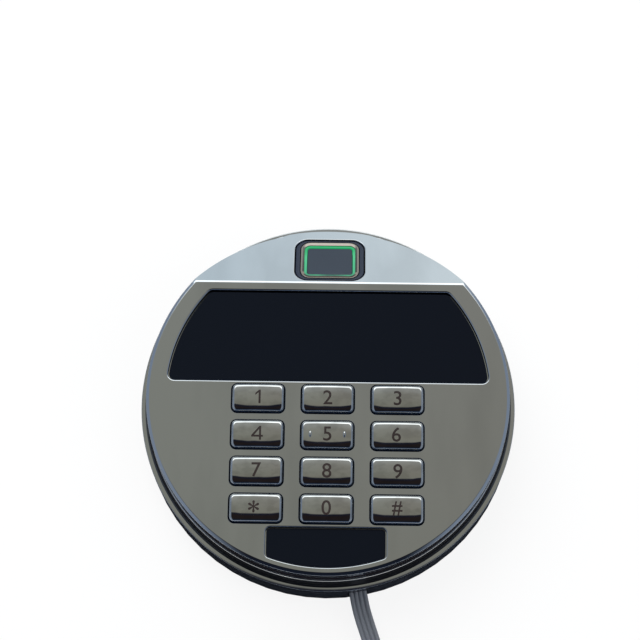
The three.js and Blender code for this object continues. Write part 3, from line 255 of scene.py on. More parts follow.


# A curve through given points, as the part draws it
def smoothRoute(points, steps):
    points = [Vector(p) for p in points]
    points = [points[0] * 2 - points[1]] + points + [points[-1] * 2 - points[-2]]
    dense = []
    for a, b, c, d in zip(points, points[1:], points[2:], points[3:]):
        for i in range(lead["stepsBetween"]):
            t = i / lead["stepsBetween"]
            dense.append(0.5 * (2 * b + (c - a) * t + (2 * a - 5 * b + 4 * c - d) * t * t
                                + (3 * b - a - 3 * c + d) * t ** 3))
    dense.append(points[-2])
    return evenly(dense, steps)


def evenly(points, steps):
    lengths = [0.0]
    for a, b in zip(points, points[1:]):
        lengths.append(lengths[-1] + (b - a).length)
    made, k = [], 0
    for i in range(steps + 1):
        goal = lengths[-1] * i / steps
        while k < len(points) - 2 and lengths[k + 1] < goal:
            k += 1
        share = (goal - lengths[k]) / (lengths[k + 1] - lengths[k])
        made.append(points[k].lerp(points[k + 1], min(share, 1.0)))
    return made


def coilPath():
    def onCircle(x, y, radius, angle, z):
        return Vector((x + radius * math.cos(angle), y + radius * math.sin(angle), z)) * mm

    def clockwise(angle):
        return Vector((math.sin(angle), -math.cos(angle), 0))

    start = math.radians(lead["coilStart"])
    end = start - lead["turns"] * 2 * math.pi
    inner = lead["coilRadius"] - lead["turns"] * lead["coilPitch"]
    x, y, z = lead["coilX"], lead["coilY"], lead["coilZ"]
    first = onCircle(x, y, lead["coilRadius"], start, z)
    points = [first - clockwise(start) * (lead["width"] - unit["gap"]) * mm * s for s in lead["joinShares"]]
    steps = round(lead["turns"] * lead["stepsPerTurn"])
    for i in range(steps + 1):
        share = i / steps
        radius = lead["coilRadius"] + (inner - lead["coilRadius"]) * share
        points.append(onCircle(x, y, radius, start + (end - start) * share, z))
    middle = onCircle(x, y, inner - lead["tailRadius"], end, z) / mm
    for i in range(1, lead["tailSteps"] + 1):
        angle = end - math.radians(lead["tailDegrees"]) * i / lead["tailSteps"]
        drop = lead["tailDrop"] * eased(i / (lead["tailSteps"] - 1))
        points.append(onCircle(middle.x, middle.y, lead["tailRadius"], angle, z - drop))
    points.append(points[-1] + clockwise(angle) * lead["width"] * mm)
    tailShare = (lead["tailSteps"] + 1) / len(points)
    return points, tailShare


# A flat curve of closed outlines in millimetres
def flatCurve(name, outlines):
    curve = bpy.data.curves.new(name, "CURVE")
    curve.dimensions = "2D"
    curve.fill_mode = "BOTH"
    for outline in outlines:
        spline = curve.splines.new("POLY")
        spline.points.add(len(outline) - 1)
        for point, (a, b) in zip(spline.points, outline):
            point.co = (a * mm, b * mm, 0, 1)
        spline.use_cyclic_u = True
    return curve


# Outline across the flat cable: one round bulge for each core, with a thin web between them
def ribbonSection():
    core = lead["width"] / lead["cores"] / 2
    corners = []
    for side in (1, -1):
        for i in range(lead["cores"]):
            middle = side * (i * 2 + 1 - lead["cores"]) * core
            for k in range(lead["bulgeSteps"] + 1):
                angle = math.radians(lead["bulgeStart"] + lead["bulgeTurn"] * (1 - k / lead["bulgeSteps"])
                                     + (0 if side > 0 else 180))
                corners.append((middle + core * lead["bulgeReach"] * math.cos(angle),
                                lead["thickness"] / 2 * math.sin(angle)))
    section = bpy.data.objects.new("ribbonSection", flatCurve("ribbonSection", [corners]))
    scene.collection.objects.link(section)
    return section


# The mesh that a curve or text draws
def meshOf(curve, reach):
    holder = bpy.data.objects.new("holder", curve)
    scene.collection.objects.link(holder)
    bpy.context.view_layer.update()
    mesh = bpy.data.meshes.new_from_object(holder.evaluated_get(bpy.context.evaluated_depsgraph_get()))
    bpy.data.objects.remove(holder)
    made = bmesh.new()
    made.from_mesh(mesh)
    bpy.data.meshes.remove(mesh)
    bmesh.ops.remove_doubles(made, verts=made.verts, dist=reach)
    return made


def sweepRibbon(name, points, tilts):
    section = ribbonSection()
    curve = bpy.data.curves.new(name, "CURVE")
    curve.dimensions = "3D"
    curve.twist_mode = "Z_UP"
    curve.bevel_mode = "OBJECT"
    curve.bevel_object = section
    curve.use_fill_caps = True
    spline = curve.splines.new("POLY")
    spline.points.add(len(points) - 1)
    for point, at, tilt in zip(spline.points, points, tilts):
        point.co = (*at, 1)
        point.tilt = tilt
    made = meshOf(curve, weld)
    bpy.data.objects.remove(section)
    bmesh.ops.recalc_face_normals(made, faces=made.faces)
    return made


# inside is the material of the faces with index 1, and place moves the mesh, not the object
def finishPiece(name, made, material, body=root, replaced=(), sharp=32, place=None, inside=None):
    if place is not None:
        bmesh.ops.transform(made, matrix=place, verts=made.verts)
    mesh = bpy.data.meshes.new(name)
    made.to_mesh(mesh)
    made.free()
    mesh.shade_smooth()
    mesh.set_sharp_from_angle(angle=math.radians(sharp))
    mesh.materials.append(material)
    if inside:
        mesh.materials.append(inside)
    piece = bpy.data.objects.new(name, mesh)
    scene.collection.objects.link(piece)
    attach(piece, body)
    if replaced:
        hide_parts(*replaced)
    return piece


leadPoints = smoothRoute(lead["route"], lead["steps"])
coilPoints, tailShare = coilPath()
cordPoints = leadPoints + coilPoints
leadTilts = [eased((i / lead["steps"] - lead["twistStart"]) / (1 - lead["twistStart"])) * quarter
             for i in range(len(leadPoints))]
coilTilts = [(1 - eased((i / (len(coilPoints) - 1) - 1 + tailShare) / (tailShare * lead["untwistShare"]))) * quarter
             for i in range(len(coilPoints))]
flatLead = finishPiece("flatLead", sweepRibbon("flatLead", cordPoints, leadTilts + coilTilts), greyPvc,
                       replaced=["cable_lead", "cable_coil"], sharp=50)
print("cord: made")


# Outlines: arcs as middle, radius, first angle, turn and steps, with straight edges between them. A size is width,
# height and corner, and an outline that grows keeps the middles of its corners
def roundedRectangle(size, grow=0.0, x=0.0, y=0.0, steps=8):
    width, height, corner = size
    a, b = width / 2 - corner, height / 2 - corner
    return [(x + i * a, y + j * b, corner + grow, k * quarter, quarter, steps)
            for k, (i, j) in enumerate(((1, 1), (-1, 1), (-1, -1), (1, -1)))]


window = {"bottom": 3.9, "toCrease": 2.606, "arcRadius": 46.796, "corner": 2.0, "arcSteps": 28, "lowCornerSteps": 8,
          "cornerSteps": 6, "viewHalf": 33.0, "viewMargin": 2.5, "viewCorner": 0.5, "viewSteps": 3, "pocketZ": 24.0,
          "lensBottomZ": 24.3, "lensTopZ": 25.5, "lensEdge": 0.22, "lensLand": 0.2, "lip": 0.42,
          "footTop": -38.7, "footHalf": 17.2, "footArcRadius": 50.196, "footCorner": 1.5, "footLip": 0.3,
          "footArcSteps": 24}


def displayOutline(grow):
    bottom, top = window["bottom"] - grow, unit["creaseY"] - window["toCrease"] + grow
    radius, corner = window["arcRadius"] + grow, window["corner"] + grow
    bottomX = math.sqrt((radius - corner) ** 2 - (bottom + corner) ** 2)
    topX = math.sqrt((radius - corner) ** 2 - (top - corner) ** 2)
    low, high = math.atan2(bottom + corner, bottomX), math.atan2(top - corner, topX)
    arcSteps, lowSteps, steps = [window[k] for k in ("arcSteps", "lowCornerSteps", "cornerSteps")]
    return [(bottomX, bottom + corner, corner, -quarter, quarter + low, lowSteps),
            (0, 0, radius, low, high - low, arcSteps),
            (topX, top - corner, corner, high, quarter - high, steps),
            (-topX, top - corner, corner, quarter, quarter - high, steps),
            (0, 0, radius, math.pi - high, high - low, arcSteps),
            (-bottomX, bottom + corner, corner, math.pi - low, quarter + low, lowSteps)]


def footOutline(grow):
    top, side = window["footTop"] + grow, window["footHalf"] + grow
    radius, corner = window["footArcRadius"] + grow, window["footCorner"] + grow
    x = side - corner
    y = -math.sqrt((radius - corner) ** 2 - x ** 2)
    turn, steps = math.atan2(y, x), window["cornerSteps"]
    return [(x, top - corner, corner, 0, quarter, steps), (-x, top - corner, corner, quarter, quarter, steps),
            (-x, y, corner, math.pi, -turn, steps),
            (0, 0, radius, math.pi - turn, math.pi + 2 * turn, window["footArcSteps"]),
            (x, y, corner, turn, -turn, steps)]


def straightRun(made, vert, goal, steps):
    return bmesh.ops.spin(made, geom=[vert], cent=vert.co, axis=up, angle=0, steps=steps,
                          dvec=(goal - vert.co) / steps, use_merge=False)["geom_last"][0]


# One closed loop of edges: each arc is a vertex spun about the arc's middle, and each straight side may be cut
def drawLoop(made, arcs, z, cuts=(0, 0)):
    start, last, side = None, None, 0
    for x, y, radius, begin, turn, steps in arcs:
        at = Vector((x + radius * math.cos(begin), y + radius * math.sin(begin), z)) * mm
        if last is None:
            last = start = made.verts.new(at)
        elif (last.co - at).length > hair:
            last = straightRun(made, last, at, cuts[side % 2] + 1)
            side += 1
        last = bmesh.ops.spin(made, geom=[last], cent=Vector((x, y, z)) * mm, axis=up, angle=turn,
                              steps=steps, dvec=(0, 0, 0), use_merge=False)["geom_last"][0]
    steps = cuts[side % 2]
    if steps:
        last = straightRun(made, last, last.co.lerp(start.co, steps / (steps + 1)), steps)
    made.edges.new((last, start))
    loop, vert = [], start
    while not loop or vert != start:
        loop.append(next(e for e in vert.link_edges if e not in loop[-1:]))
        vert = loop[-1].other_vert(vert)
    return loop


# Loops of one outline at several heights: drawn a millimetre apart, bridged one after another, then brought to
# their heights, because a bridge between two loops in one plane can turn over. Without closed, both ends are filled
# where filled says so
def stackLoops(made, levels, cuts=(0, 0), filled=False, closed=False):
    loops = [drawLoop(made, arcs, k, cuts) for k, (arcs, z) in enumerate(levels)]
    for lower, upper in list(zip(loops, loops[1:])) + ([(loops[-1], loops[0])] if closed else []):
        bmesh.ops.bridge_loops(made, edges=lower + upper)
    for k, (loop, (arcs, z)) in enumerate(zip(loops, levels)):
        bmesh.ops.translate(made, verts=list({v for e in loop for v in e.verts}), vec=(0, 0, (z - k) * mm))
    for loop in (loops[0], loops[-1]) if filled else ():
        bmesh.ops.edgeloop_fill(made, edges=loop)
    return made


def stackedPiece(name, levels, material, replaced=(), sharp=32, place=None, closed=False):
    made = stackLoops(bmesh.new(), levels, filled=not closed, closed=closed)
    return finishPiece(name, cleaned(made), material, replaced=replaced, sharp=sharp, place=place)


# A round post with its radius at both ends
def addPost(made, x, y, low, high, radii, segments):
    post = bmesh.ops.create_cone(made, cap_ends=True, segments=segments, radius1=radii[0] * mm, radius2=radii[1] * mm,
                                 depth=(high - low) * mm)
    bmesh.ops.translate(made, verts=post["verts"], vec=Vector((x, y, (low + high) / 2)) * mm)


# A rounded edge as grow and height, from the flat above down to the wall
def roundedLip(radius, z, steps=5):
    turns = [quarter * i / steps for i in range(steps + 1)]
    return [(radius * (1 - math.sin(t)), z - radius * (1 - math.cos(t))) for t in turns]


# The same from the wall up to the flat, drawn in by its radius
def raisedEdge(z, radius, grow=0.0, steps=4):
    turns = [quarter * i / steps for i in range(steps + 1)]
    return [(grow - radius * (1 - math.cos(t)), z - radius * (1 - math.sin(t))) for t in turns]


def turned(profile, steps, closed=False):
    made = bmesh.new()
    start = math.pi / steps  # half a step, which keeps the steps clear of the crease's ends
    verts = [made.verts.new(Vector((radius * math.cos(start), radius * math.sin(start), z)) * mm)
             for radius, z in profile]
    edges = [made.edges.new(pair) for pair in zip(verts, verts[1:] + (verts[:1] if closed else []))]
    bmesh.ops.spin(made, geom=verts + edges, cent=(0, 0, 0), axis=up, angle=2 * math.pi, steps=steps,
                   dvec=(0, 0, 0), use_merge=True)
    bmesh.ops.remove_doubles(made, verts=made.verts, dist=weld)
    return made


# Moves everything of one bmesh into another
def joinInto(made, other, place=None):
    if place:
        bmesh.ops.transform(other, matrix=place, verts=other.verts)
    held = bpy.data.meshes.new("held")
    other.to_mesh(held)
    other.free()
    made.from_mesh(held)
    bpy.data.meshes.remove(held)


def cleaned(made):
    bmesh.ops.remove_doubles(made, verts=made.verts, dist=weld)
    bmesh.ops.recalc_face_normals(made, faces=made.faces)
    return made


# Closes everything that is still open in one plane, with the holes left open
def fillPlane(made, place, height):
    back = place.inverted()
    edges = [e for e in made.edges if len(e.link_faces) < 2
             and all(abs((back @ v.co).z - height * mm) < planar for v in e.verts)]
    bmesh.ops.triangle_fill(made, use_beauty=True, use_dissolve=False, edges=edges, normal=place.to_3x3() @ up)


def largestFace(made, normal):
    return max((f for f in made.faces if f.normal.dot(normal) > 1 - straight), key=lambda f: f.calc_area())


# Cuts along a plane and hands back the cut's edges or the faces on both sides
def cutAlong(made, geom, at, normal, kind, **settings):
    cut = bmesh.ops.bisect_plane(made, geom=list(geom), dist=hair, plane_co=at, plane_no=normal, **settings)
    return [g for g in cut["geom_cut" if kind is bmesh.types.BMEdge else "geom"] if isinstance(g, kind)]


def cutFaces(made, faces, at, normal):
    near = {g for f in faces for g in [f, *f.edges, *f.verts]}
    return cutAlong(made, near, at, normal, bmesh.types.BMFace)


# Front shell: a spun wall with its face, cut off by the facet; then lips and walls of every hole
shell = {"skirtInner": 48.096, "skirt": 50.096, "radius": 52.496, "inner": 49.996, "lipReach": 0.4,
         "lipHeight": 1.4, "lipZ": 16.5, "lipSteps": 8, "skirtBottomZ": 8.4, "footStep": 0.05, "rootZ": 18.6,
         "innerZ": 23.0, "facetThickness": 3.0, "rimReach": 1.0, "rimTilt": 28.0, "rimFine": 0.2, "rimSoft": 0.4,
         "rimSteps": 5, "creaseRound": 0.5, "creaseSteps": 6, "creaseHold": 38.4, "stripArea": 5.0, "hold": 0.12,
         "keyLip": 0.09, "keyGap": 0.42, "sensorLip": 0.3, "gapShadeDepth": 0.004, "gapShadeReach": 0.6,
         "gapShadeTilt": 0.999, "windowZ": (10.3, 12.3), "windowDegrees": 5.2, "windows": (45, 135, 225, 315),
         "windowRadius": 50.196, "windowCross": 0.5, "notchTopZ": 10.6, "notchDegrees": 3.9, "bossRadii": (2.6, 2.8),
         "bossBottomZ": 18.4,
         "bosses": [(-41.999, -1.981), (41.999, -1.981), (-31.813, -32.486), (31.813, -32.486)]}
keys = {"size": (14.8, 8.0, 1.4), "cornerSteps": 6, "pitchX": 20.06, "pitchY": 10.7, "middleY": -17.45,
        "topZ": 28.3, "edgeInset": 0.8, "edgeDrop": 0.6, "edgeSteps": 7, "land": 0.1, "crown": 24.0,
        "crownAcross": 90.0, "crownEnds": 0.45, "cutStep": 0.7, "sideCuts": (17, 7), "flangeZ": (21.7, 22.7),
        "flangeReach": 0.9, "flangeEdge": 0.1, "gapShadeZ": 26.6, "wall": 1.2, "pocketZ": 26.4,
        "plungerRadii": (1.5, 1.5), "plungerRoot": 0.3, "nub": (0.42, 0.95, 0.3), "nubX": 4.9, "nubSink": 0.04,
        "nubKey": "5",
        "names": ["1", "2", "3", "4", "5", "6", "7", "8", "9", "star", "0", "hash"]}
sensor = {"size": (20.8, 16.9, 4.0), "middle": 9.39, "cornerSteps": 10}
keyWidth, keyHeight = keys["size"][:2]
keyMiddles = {name: ((i % 3 - 1) * keys["pitchX"], keys["middleY"] + (1.5 - i // 3) * keys["pitchY"])
              for i, name in enumerate(keys["names"])}


# A spun wall, closed on top and then cut by planes, each cut closed again
def shellHalf(profile, plateZ, planes):
    made = turned(profile, unit["turnSteps"])
    rim = [e for e in made.edges if e.is_boundary and all(v.co.z > (plateZ - slack) * mm for v in e.verts)]
    bmesh.ops.edgeloop_fill(made, edges=rim)
    for at, normal in planes:
        edges = cutAlong(made, made.verts[:] + made.edges[:] + made.faces[:], at, normal, bmesh.types.BMEdge,
                         clear_outer=True)
        bmesh.ops.edgeloop_fill(made, edges=edges)
    bmesh.ops.recalc_face_normals(made, faces=made.faces)
    return made


# Planes that touch the rounding of the crease, one after another
def creasePlanes():
    reach = shell["creaseRound"]
    radius = reach / math.tan(facetTilt / 2)
    middle = Vector((0, unit["creaseY"] - reach, unit["faceZ"] - radius))
    tilts = [facetTilt * k / shell["creaseSteps"] for k in range(1, shell["creaseSteps"])]
    normals = [Vector((0, math.sin(t), math.cos(t))) for t in tilts]
    return [((middle + n * radius) * mm, n) for n in normals]


# The rim from the wall up to the face: a fine edge, a flat chamfer and a soft edge, as grow and height
def rimProfile(top):
    tilt, reach, fine, soft = math.radians(shell["rimTilt"]), shell["rimReach"], shell["rimFine"], shell["rimSoft"]
    s, c = math.sin(tilt), math.cos(tilt)
    low = top - soft * (1 - c) - (reach - fine * (1 - s) - soft * s) / c * s - fine * c
    shares = [k / shell["rimSteps"] for k in range(shell["rimSteps"] + 1)]
    return ([(fine * math.sin(a) - fine, low + fine * math.cos(a))
             for a in [quarter + (tilt - quarter) * share for share in shares]]
            + [(soft * math.sin(a) - reach, top - soft + soft * math.cos(a))
               for a in [tilt * (1 - share) for share in shares]])


def makeShell():
    z0, (w0, w1), n = shell["skirtBottomZ"], shell["windowZ"], shell["notchTopZ"]
    top, ring = unit["faceZ"], [z0, w0, n, w1]
    bead = []
    for i in range(shell["lipSteps"] + 1):
        angle = math.pi * i / shell["lipSteps"] - quarter
        bead.append((shell["radius"] + shell["lipReach"] * math.cos(angle),
                     shell["lipZ"] + shell["lipHeight"] / 2 * (1 + math.sin(angle))))
    rim = [(shell["radius"] + grow, z) for grow, z in rimProfile(top)]
    made = shellHalf([(shell["skirt"], z) for z in ring + [shell["lipZ"]]] + bead + rim, top,
                     [(facetPlace.translation, facetNormal)] + creasePlanes())
    strips = [f for f in made.faces if abs(f.normal.x) < straight and f.calc_area() > shell["stripArea"] * mm * mm
              and facetNormal.z + straight < f.normal.z < 1 - straight]
    for side in (-1, 1):
        strips = cutFaces(made, strips, (side * shell["creaseHold"] * mm, 0, 0), (side, 0, 0))
    for normal in (up, facetNormal):
        bmesh.ops.inset_region(made, faces=[largestFace(made, normal)], thickness=shell["hold"] * mm,
                               use_even_offset=True)
    bmesh.ops.delete(made, geom=[largestFace(made, up), largestFace(made, facetNormal)], context="FACES_ONLY")
    inner = shellHalf([(shell["skirtInner"], z) for z in [z0 + shell["footStep"]] + ring[1:] + [shell["rootZ"]]]
                      + [(shell["inner"], shell["rootZ"]), (shell["inner"], shell["innerZ"])],
                      shell["innerZ"], [(facetPlace @ Vector((0, 0, -shell["facetThickness"] * mm)), facetNormal)])
    bmesh.ops.delete(inner, geom=[largestFace(inner, up), largestFace(inner, facetNormal)], context="FACES_ONLY")
    joinInto(made, inner)
    foot = [e for e in made.edges
            if e.is_boundary and all(v.co.z < (z0 + shell["footStep"] + slack) * mm for v in e.verts)]
    bmesh.ops.bridge_loops(made, edges=foot)
    return made


# An opening through both walls of the skirt: its sides are bridged from one wall's rim to the other's, without the
# edges that already cross between the walls
def cutWindow(made, degrees, half, low, high):
    def inside(face):
        at = face.calc_center_median()
        turn = (math.degrees(math.atan2(at.y, at.x)) - degrees + 180) % 360 - 180
        return abs(turn) < half and low <= at.z / mm <= high and at.xy.length / mm < shell["windowRadius"]

    bmesh.ops.delete(made, geom=[f for f in made.faces if inside(f)], context="FACES")
    bmesh.ops.bridge_loops(made, edges=[
        e for e in made.edges if e.is_boundary and all(low - slack <= v.co.z / mm <= high + slack for v in e.verts)
        and abs(e.verts[0].co.xy.length - e.verts[1].co.xy.length) < shell["windowCross"] * mm])


# A hole's lip and wall, with a narrow land round it
def sleeve(outline, lip, top, bottom, place=None):
    levels = [(lip + shell["hold"], top)] + roundedLip(lip, top) + [(0.0, bottom)]
    joinInto(shellMesh, stackLoops(bmesh.new(), [(outline(grow), z) for grow, z in levels]), place)


print("shell: spinning")
shellMesh = makeShell()
for turn in shell["windows"]:
    cutWindow(shellMesh, turn, shell["windowDegrees"], *shell["windowZ"])
cutWindow(shellMesh, unit["exitDegrees"] - 90, shell["notchDegrees"], shell["skirtBottomZ"], shell["notchTopZ"])
for x, y in keyMiddles.values():
    sleeve(lambda grow: roundedRectangle(keys["size"], shell["keyGap"] + grow, x, y, keys["cornerSteps"]),
           shell["keyLip"], unit["faceZ"], shell["innerZ"])
sleeve(displayOutline, window["lip"], unit["faceZ"], window["pocketZ"])
sleeve(footOutline, window["footLip"], unit["faceZ"], window["pocketZ"])
viewBottom = window["bottom"] + window["viewMargin"]
viewTop = unit["creaseY"] - window["toCrease"] - window["viewMargin"]
viewArcs = roundedRectangle((2 * window["viewHalf"], viewTop - viewBottom, window["viewCorner"]),
                            y=(viewTop + viewBottom) / 2, steps=window["viewSteps"])
stackLoops(shellMesh, [(viewArcs, window["pocketZ"]), (viewArcs, shell["innerZ"])])
sleeve(lambda grow: roundedRectangle(sensor["size"], grow, 0.0, sensor["middle"], sensor["cornerSteps"]),
       shell["sensorLip"], 0.0, -shell["facetThickness"], facetPlace)
for place, heights in ((Matrix(), (unit["faceZ"], window["pocketZ"], shell["innerZ"])),
                       (facetPlace, (0.0, -shell["facetThickness"]))):
    for height in heights:
        fillPlane(shellMesh, place, height)
cleaned(shellMesh)
for x, y in shell["bosses"]:
    addPost(shellMesh, x, y, shell["bossBottomZ"], shell["innerZ"] + unit["gap"], shell["bossRadii"], segments=32)
# Painted shade: the walls and rounded lips of the key holes, from just below the face down, take the dark navy that
# stands in for the shade in the gaps round the keys
for face in shellMesh.faces:
    at = face.calc_center_median() / mm
    if face.normal.z < shell["gapShadeTilt"] and shell["innerZ"] < at.z < unit["faceZ"] - shell["gapShadeDepth"] and any(
            abs(at.x - x) < keyWidth / 2 + shell["gapShadeReach"] and abs(at.y - y) < keyHeight / 2 + shell["gapShadeReach"]
            for x, y in keyMiddles.values()):
        face.material_index = 1
chromeShell = finishPiece("chromeShell", shellMesh, chromePlate, replaced=["front_shell"],
                          sharp=24, inside=keyGapShade)
print("shell: made,", len(chromeShell.data.polygons), "faces")

# Smoked windows, with a small rounded edge on top
for name, node, outline in (("displayWindow", "display_lens", displayOutline),
                            ("footWindow", "lower_window", footOutline)):
    levels = [(-unit["gap"], window["lensBottomZ"])] + raisedEdge(window["lensTopZ"], window["lensEdge"], -unit["gap"])
    levels.append((levels[-1][0] - window["lensLand"], window["lensTopZ"]))
    stackedPiece(name, [(outline(grow), z) for grow, z in levels], smokedAcrylic, [node], sharp=40)
print("windows: made")


# Keys: a cap with a crown and a rounded edge, its flange below the face, and a printed character
def crownDrop(x, y):
    ends = 1 + keys["crownEnds"] * (2 * x / keyWidth) ** 4
    return y * y / (2 * keys["crown"]) * ends + x * x / (2 * keys["crownAcross"])


# Cuts flat faces into a grid, so that they can be bent
def crownCuts(made, faces, x, y, width, height, step):
    for middle, size, normal in ((x, width, (1, 0, 0)), (y, height, (0, 1, 0))):
        count = int(size / 2 / step)
        for k in range(-count, count):
            faces = cutFaces(made, faces, Vector(normal) * (middle + (k + 0.5) * step) * mm, normal)


def makeKey(x, y, nubs):
    low, high = keys["flangeZ"]
    reach, edge = keys["flangeReach"], keys["flangeEdge"]
    levels = [(-keys["wall"], keys["pocketZ"]), (-keys["wall"], low), (reach - edge, low), (reach, low + edge),
              (reach, high - edge), (reach - edge, high), (0.0, high)]
    for k in range(keys["edgeSteps"] + 1):
        t = quarter * k / keys["edgeSteps"]
        levels.append((-keys["edgeInset"] * (1 - math.cos(t)), keys["topZ"] - keys["edgeDrop"] * (1 - math.sin(t))))
    levels.append((-keys["edgeInset"] - keys["land"], keys["topZ"]))
    made = stackLoops(bmesh.new(), [(roundedRectangle(keys["size"], grow, x, y, keys["cornerSteps"]), z)
                                    for grow, z in levels], keys["sideCuts"], filled=True)
    bmesh.ops.recalc_face_normals(made, faces=made.faces)
    crownCuts(made, [largestFace(made, up)], x, y, keyWidth, keyHeight, keys["cutStep"])
    for v in made.verts:
        if v.co.z > (keys["topZ"] - keys["edgeDrop"] - slack) * mm:
            v.co.z -= crownDrop(v.co.x / mm - x, v.co.y / mm - y) * mm
    addPost(made, x, y, low, keys["pocketZ"] + keys["plungerRoot"], keys["plungerRadii"], segments=20)
    for side in (-1, 1) if nubs else ():
        nub = bmesh.ops.create_uvsphere(made, u_segments=24, v_segments=16, radius=mm)
        bmesh.ops.scale(made, vec=keys["nub"], verts=nub["verts"])
        z = keys["topZ"] - crownDrop(keys["nubX"], 0) - keys["nubSink"]
        bmesh.ops.translate(made, verts=nub["verts"], vec=Vector((x + side * keys["nubX"], y, z)) * mm)
    cleaned(made)
    # Painted shade: the key's sides below the face take the dark navy that stands in for the shade in its gap
    for face in made.faces:
        face.material_index = int(face.calc_center_median().z < keys["gapShadeZ"] * mm)
    return made


# Each character: shift in x and y, share of its width and height, and how much bolder than the typeface
printed = {"size": 5.9, "lift": 0.012, "film": 0.012, "bendStep": 0.35, "bendReach": 1.2, "bendShift": 0.013,
           "shiftY": 0.15, "plain": (0.0, 0.0, 1.0, 1.0, 0.045), "star": (-0.5, 0.05, 1.25, 1.25, 0.075),
           "hash": (0.0, 0.0, 0.84, 0.97, 0.07), "6": (-0.3, 0.0, 1.0, 1.0, 0.045), "9": (0.15, 0.0, 1.0, 1.0, 0.045)}
drawnCharacters = {
    "1": [[(0.12, -2.02), (0.7, -2.02), (0.7, 2.02), (0.26, 2.02), (-0.84, 1.0), (-0.84, 0.4), (0.12, 1.25)]],
    "4": [[(0.65, -2.05), (1.21, -2.05), (1.21, -1.16), (1.74, -1.16), (1.74, -0.62), (1.21, -0.62), (1.21, 2.05),
           (0.75, 2.05), (-1.59, -0.7), (-1.59, -1.16), (0.65, -1.16)], [(0.65, -0.62), (0.65, 1.1), (-0.77, -0.62)]],
}


def characterCurve(name, bolder):
    if name in drawnCharacters:
        return flatCurve("character_" + name, drawnCharacters[name])
    text = bpy.data.curves.new("character_" + name, "FONT")
    text.body = {"star": "*", "hash": "#"}.get(name, name)
    text.size = printed["size"] * mm
    text.offset = bolder * mm
    return text


def makeCharacter(name, x, y):
    shiftX, shiftY, wide, tall, bolder = printed.get(name, printed["plain"])
    made = meshOf(characterCurve(name, bolder), hair)
    low, high = [Vector([end(v.co[a] for v in made.verts) for a in range(3)]) for end in (min, max)]
    bmesh.ops.translate(made, verts=made.verts, vec=-(low + high) / 2)
    bmesh.ops.scale(made, verts=made.verts, vec=(wide, tall, 1))
    crownCuts(made, made.faces[:], 0, printed["bendShift"], 0, printed["bendReach"] * printed["size"],
              printed["bendStep"])
    film = bmesh.ops.extrude_face_region(made, geom=made.faces[:], use_keep_orig=True)
    bmesh.ops.translate(made, verts=[g for g in film["geom"] if isinstance(g, bmesh.types.BMVert)],
                        vec=(0, 0, printed["film"] * mm))
    for v in made.verts:
        v.co += Vector((x + shiftX, y + printed["shiftY"] + shiftY, 0)) * mm
        v.co.z += (keys["topZ"] - crownDrop(v.co.x / mm - x, v.co.y / mm - y) + printed["lift"]) * mm
    bmesh.ops.recalc_face_normals(made, faces=made.faces)
    return made


for name, (x, y) in keyMiddles.items():
    body = "key_" + name + "_cap"
    finishPiece("chromeKey_" + name, makeKey(x, y, name == keys["nubKey"]), keyChrome, body,
                ["key_" + name], sharp=24, inside=keyGapShade)
    finishPiece("character_" + name, makeCharacter(name, x, y), printedPaint, body, sharp=30)
print("keys: made")

# Silicone mat under the keys: each dome, which on the real keypad flattens under its plunger, is a piece of its own
# with a mesh of its own
mat = {"size": (57.7, 42.88, 0.6), "bottomZ": 18.6, "topZ": 19.4, "edge": 0.15, "dome": (9.0, 5.0, 1.4),
       "sides": [(0.0, 19.36), (-0.05, 19.6), (-0.3, 20.5), (-0.42, 20.95), (-0.6, 21.22), (-0.85, 21.36),
                 (-1.15, 21.4)], "keep": 0.6}
levels = [(0.0, mat["bottomZ"])] + raisedEdge(mat["topZ"], mat["edge"])
stackedPiece("siliconeMat", [(roundedRectangle(mat["size"], grow, 0.0, keys["middleY"]), z) for grow, z in levels],
             siliconeRubber, ["key_mat"])
for name, (x, y) in keyMiddles.items():
    levels = [(roundedRectangle(mat["dome"], grow, x, y), z) for grow, z in mat["sides"]]
    dome = stackedPiece("siliconeDome_" + name, levels, siliconeRubber)
    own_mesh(dome)
print("key mat: made")

# Flange ring and gasket, spun from their sections: radius, height and rounding of each corner
rings = {"chromeFlange": {"node": "flange_ring", "material": chromePlate, "slot": "chrome_plate",
                          "corners": [(50.396, 11.1, 0.1), (54.996, 11.1, 0.22), (54.996, 13.1, 0.22),
                                      (50.396, 13.1, 0.1)]},
         "rubberGasket": {"node": "shell_gasket", "material": blackRubber, "slot": "black_rubber",
                          "corners": [(50.396, 13.4, 0.1), (53.896, 13.4, 0.3), (52.996, 16.2, 0.3),
                                      (50.396, 16.2, 0.1)]}}


def roundedSection(corners, steps=4):
    points = []
    for i, (r, z, radius) in enumerate(corners):
        here = Vector((r, z))
        before, after = [Vector(corners[(i + k) % len(corners)][:2]) for k in (-1, 1)]
        a, b = (before - here).normalized(), (after - here).normalized()
        reach = radius / math.tan(math.acos(a.dot(b)) / 2)
        for k in range(steps + 1):
            t = k / steps
            points.append((here + a * reach) * (1 - t) ** 2 + here * 2 * t * (1 - t) + (here + b * reach) * t ** 2)
    return [tuple(p) for p in points]


for name, ring in rings.items():
    made = turned(roundedSection(ring["corners"]), unit["turnSteps"], closed=True)
    finishPiece(name, cleaned(made), ring["material"], replaced=[ring["node"]], sharp=30)
print("rings: made")

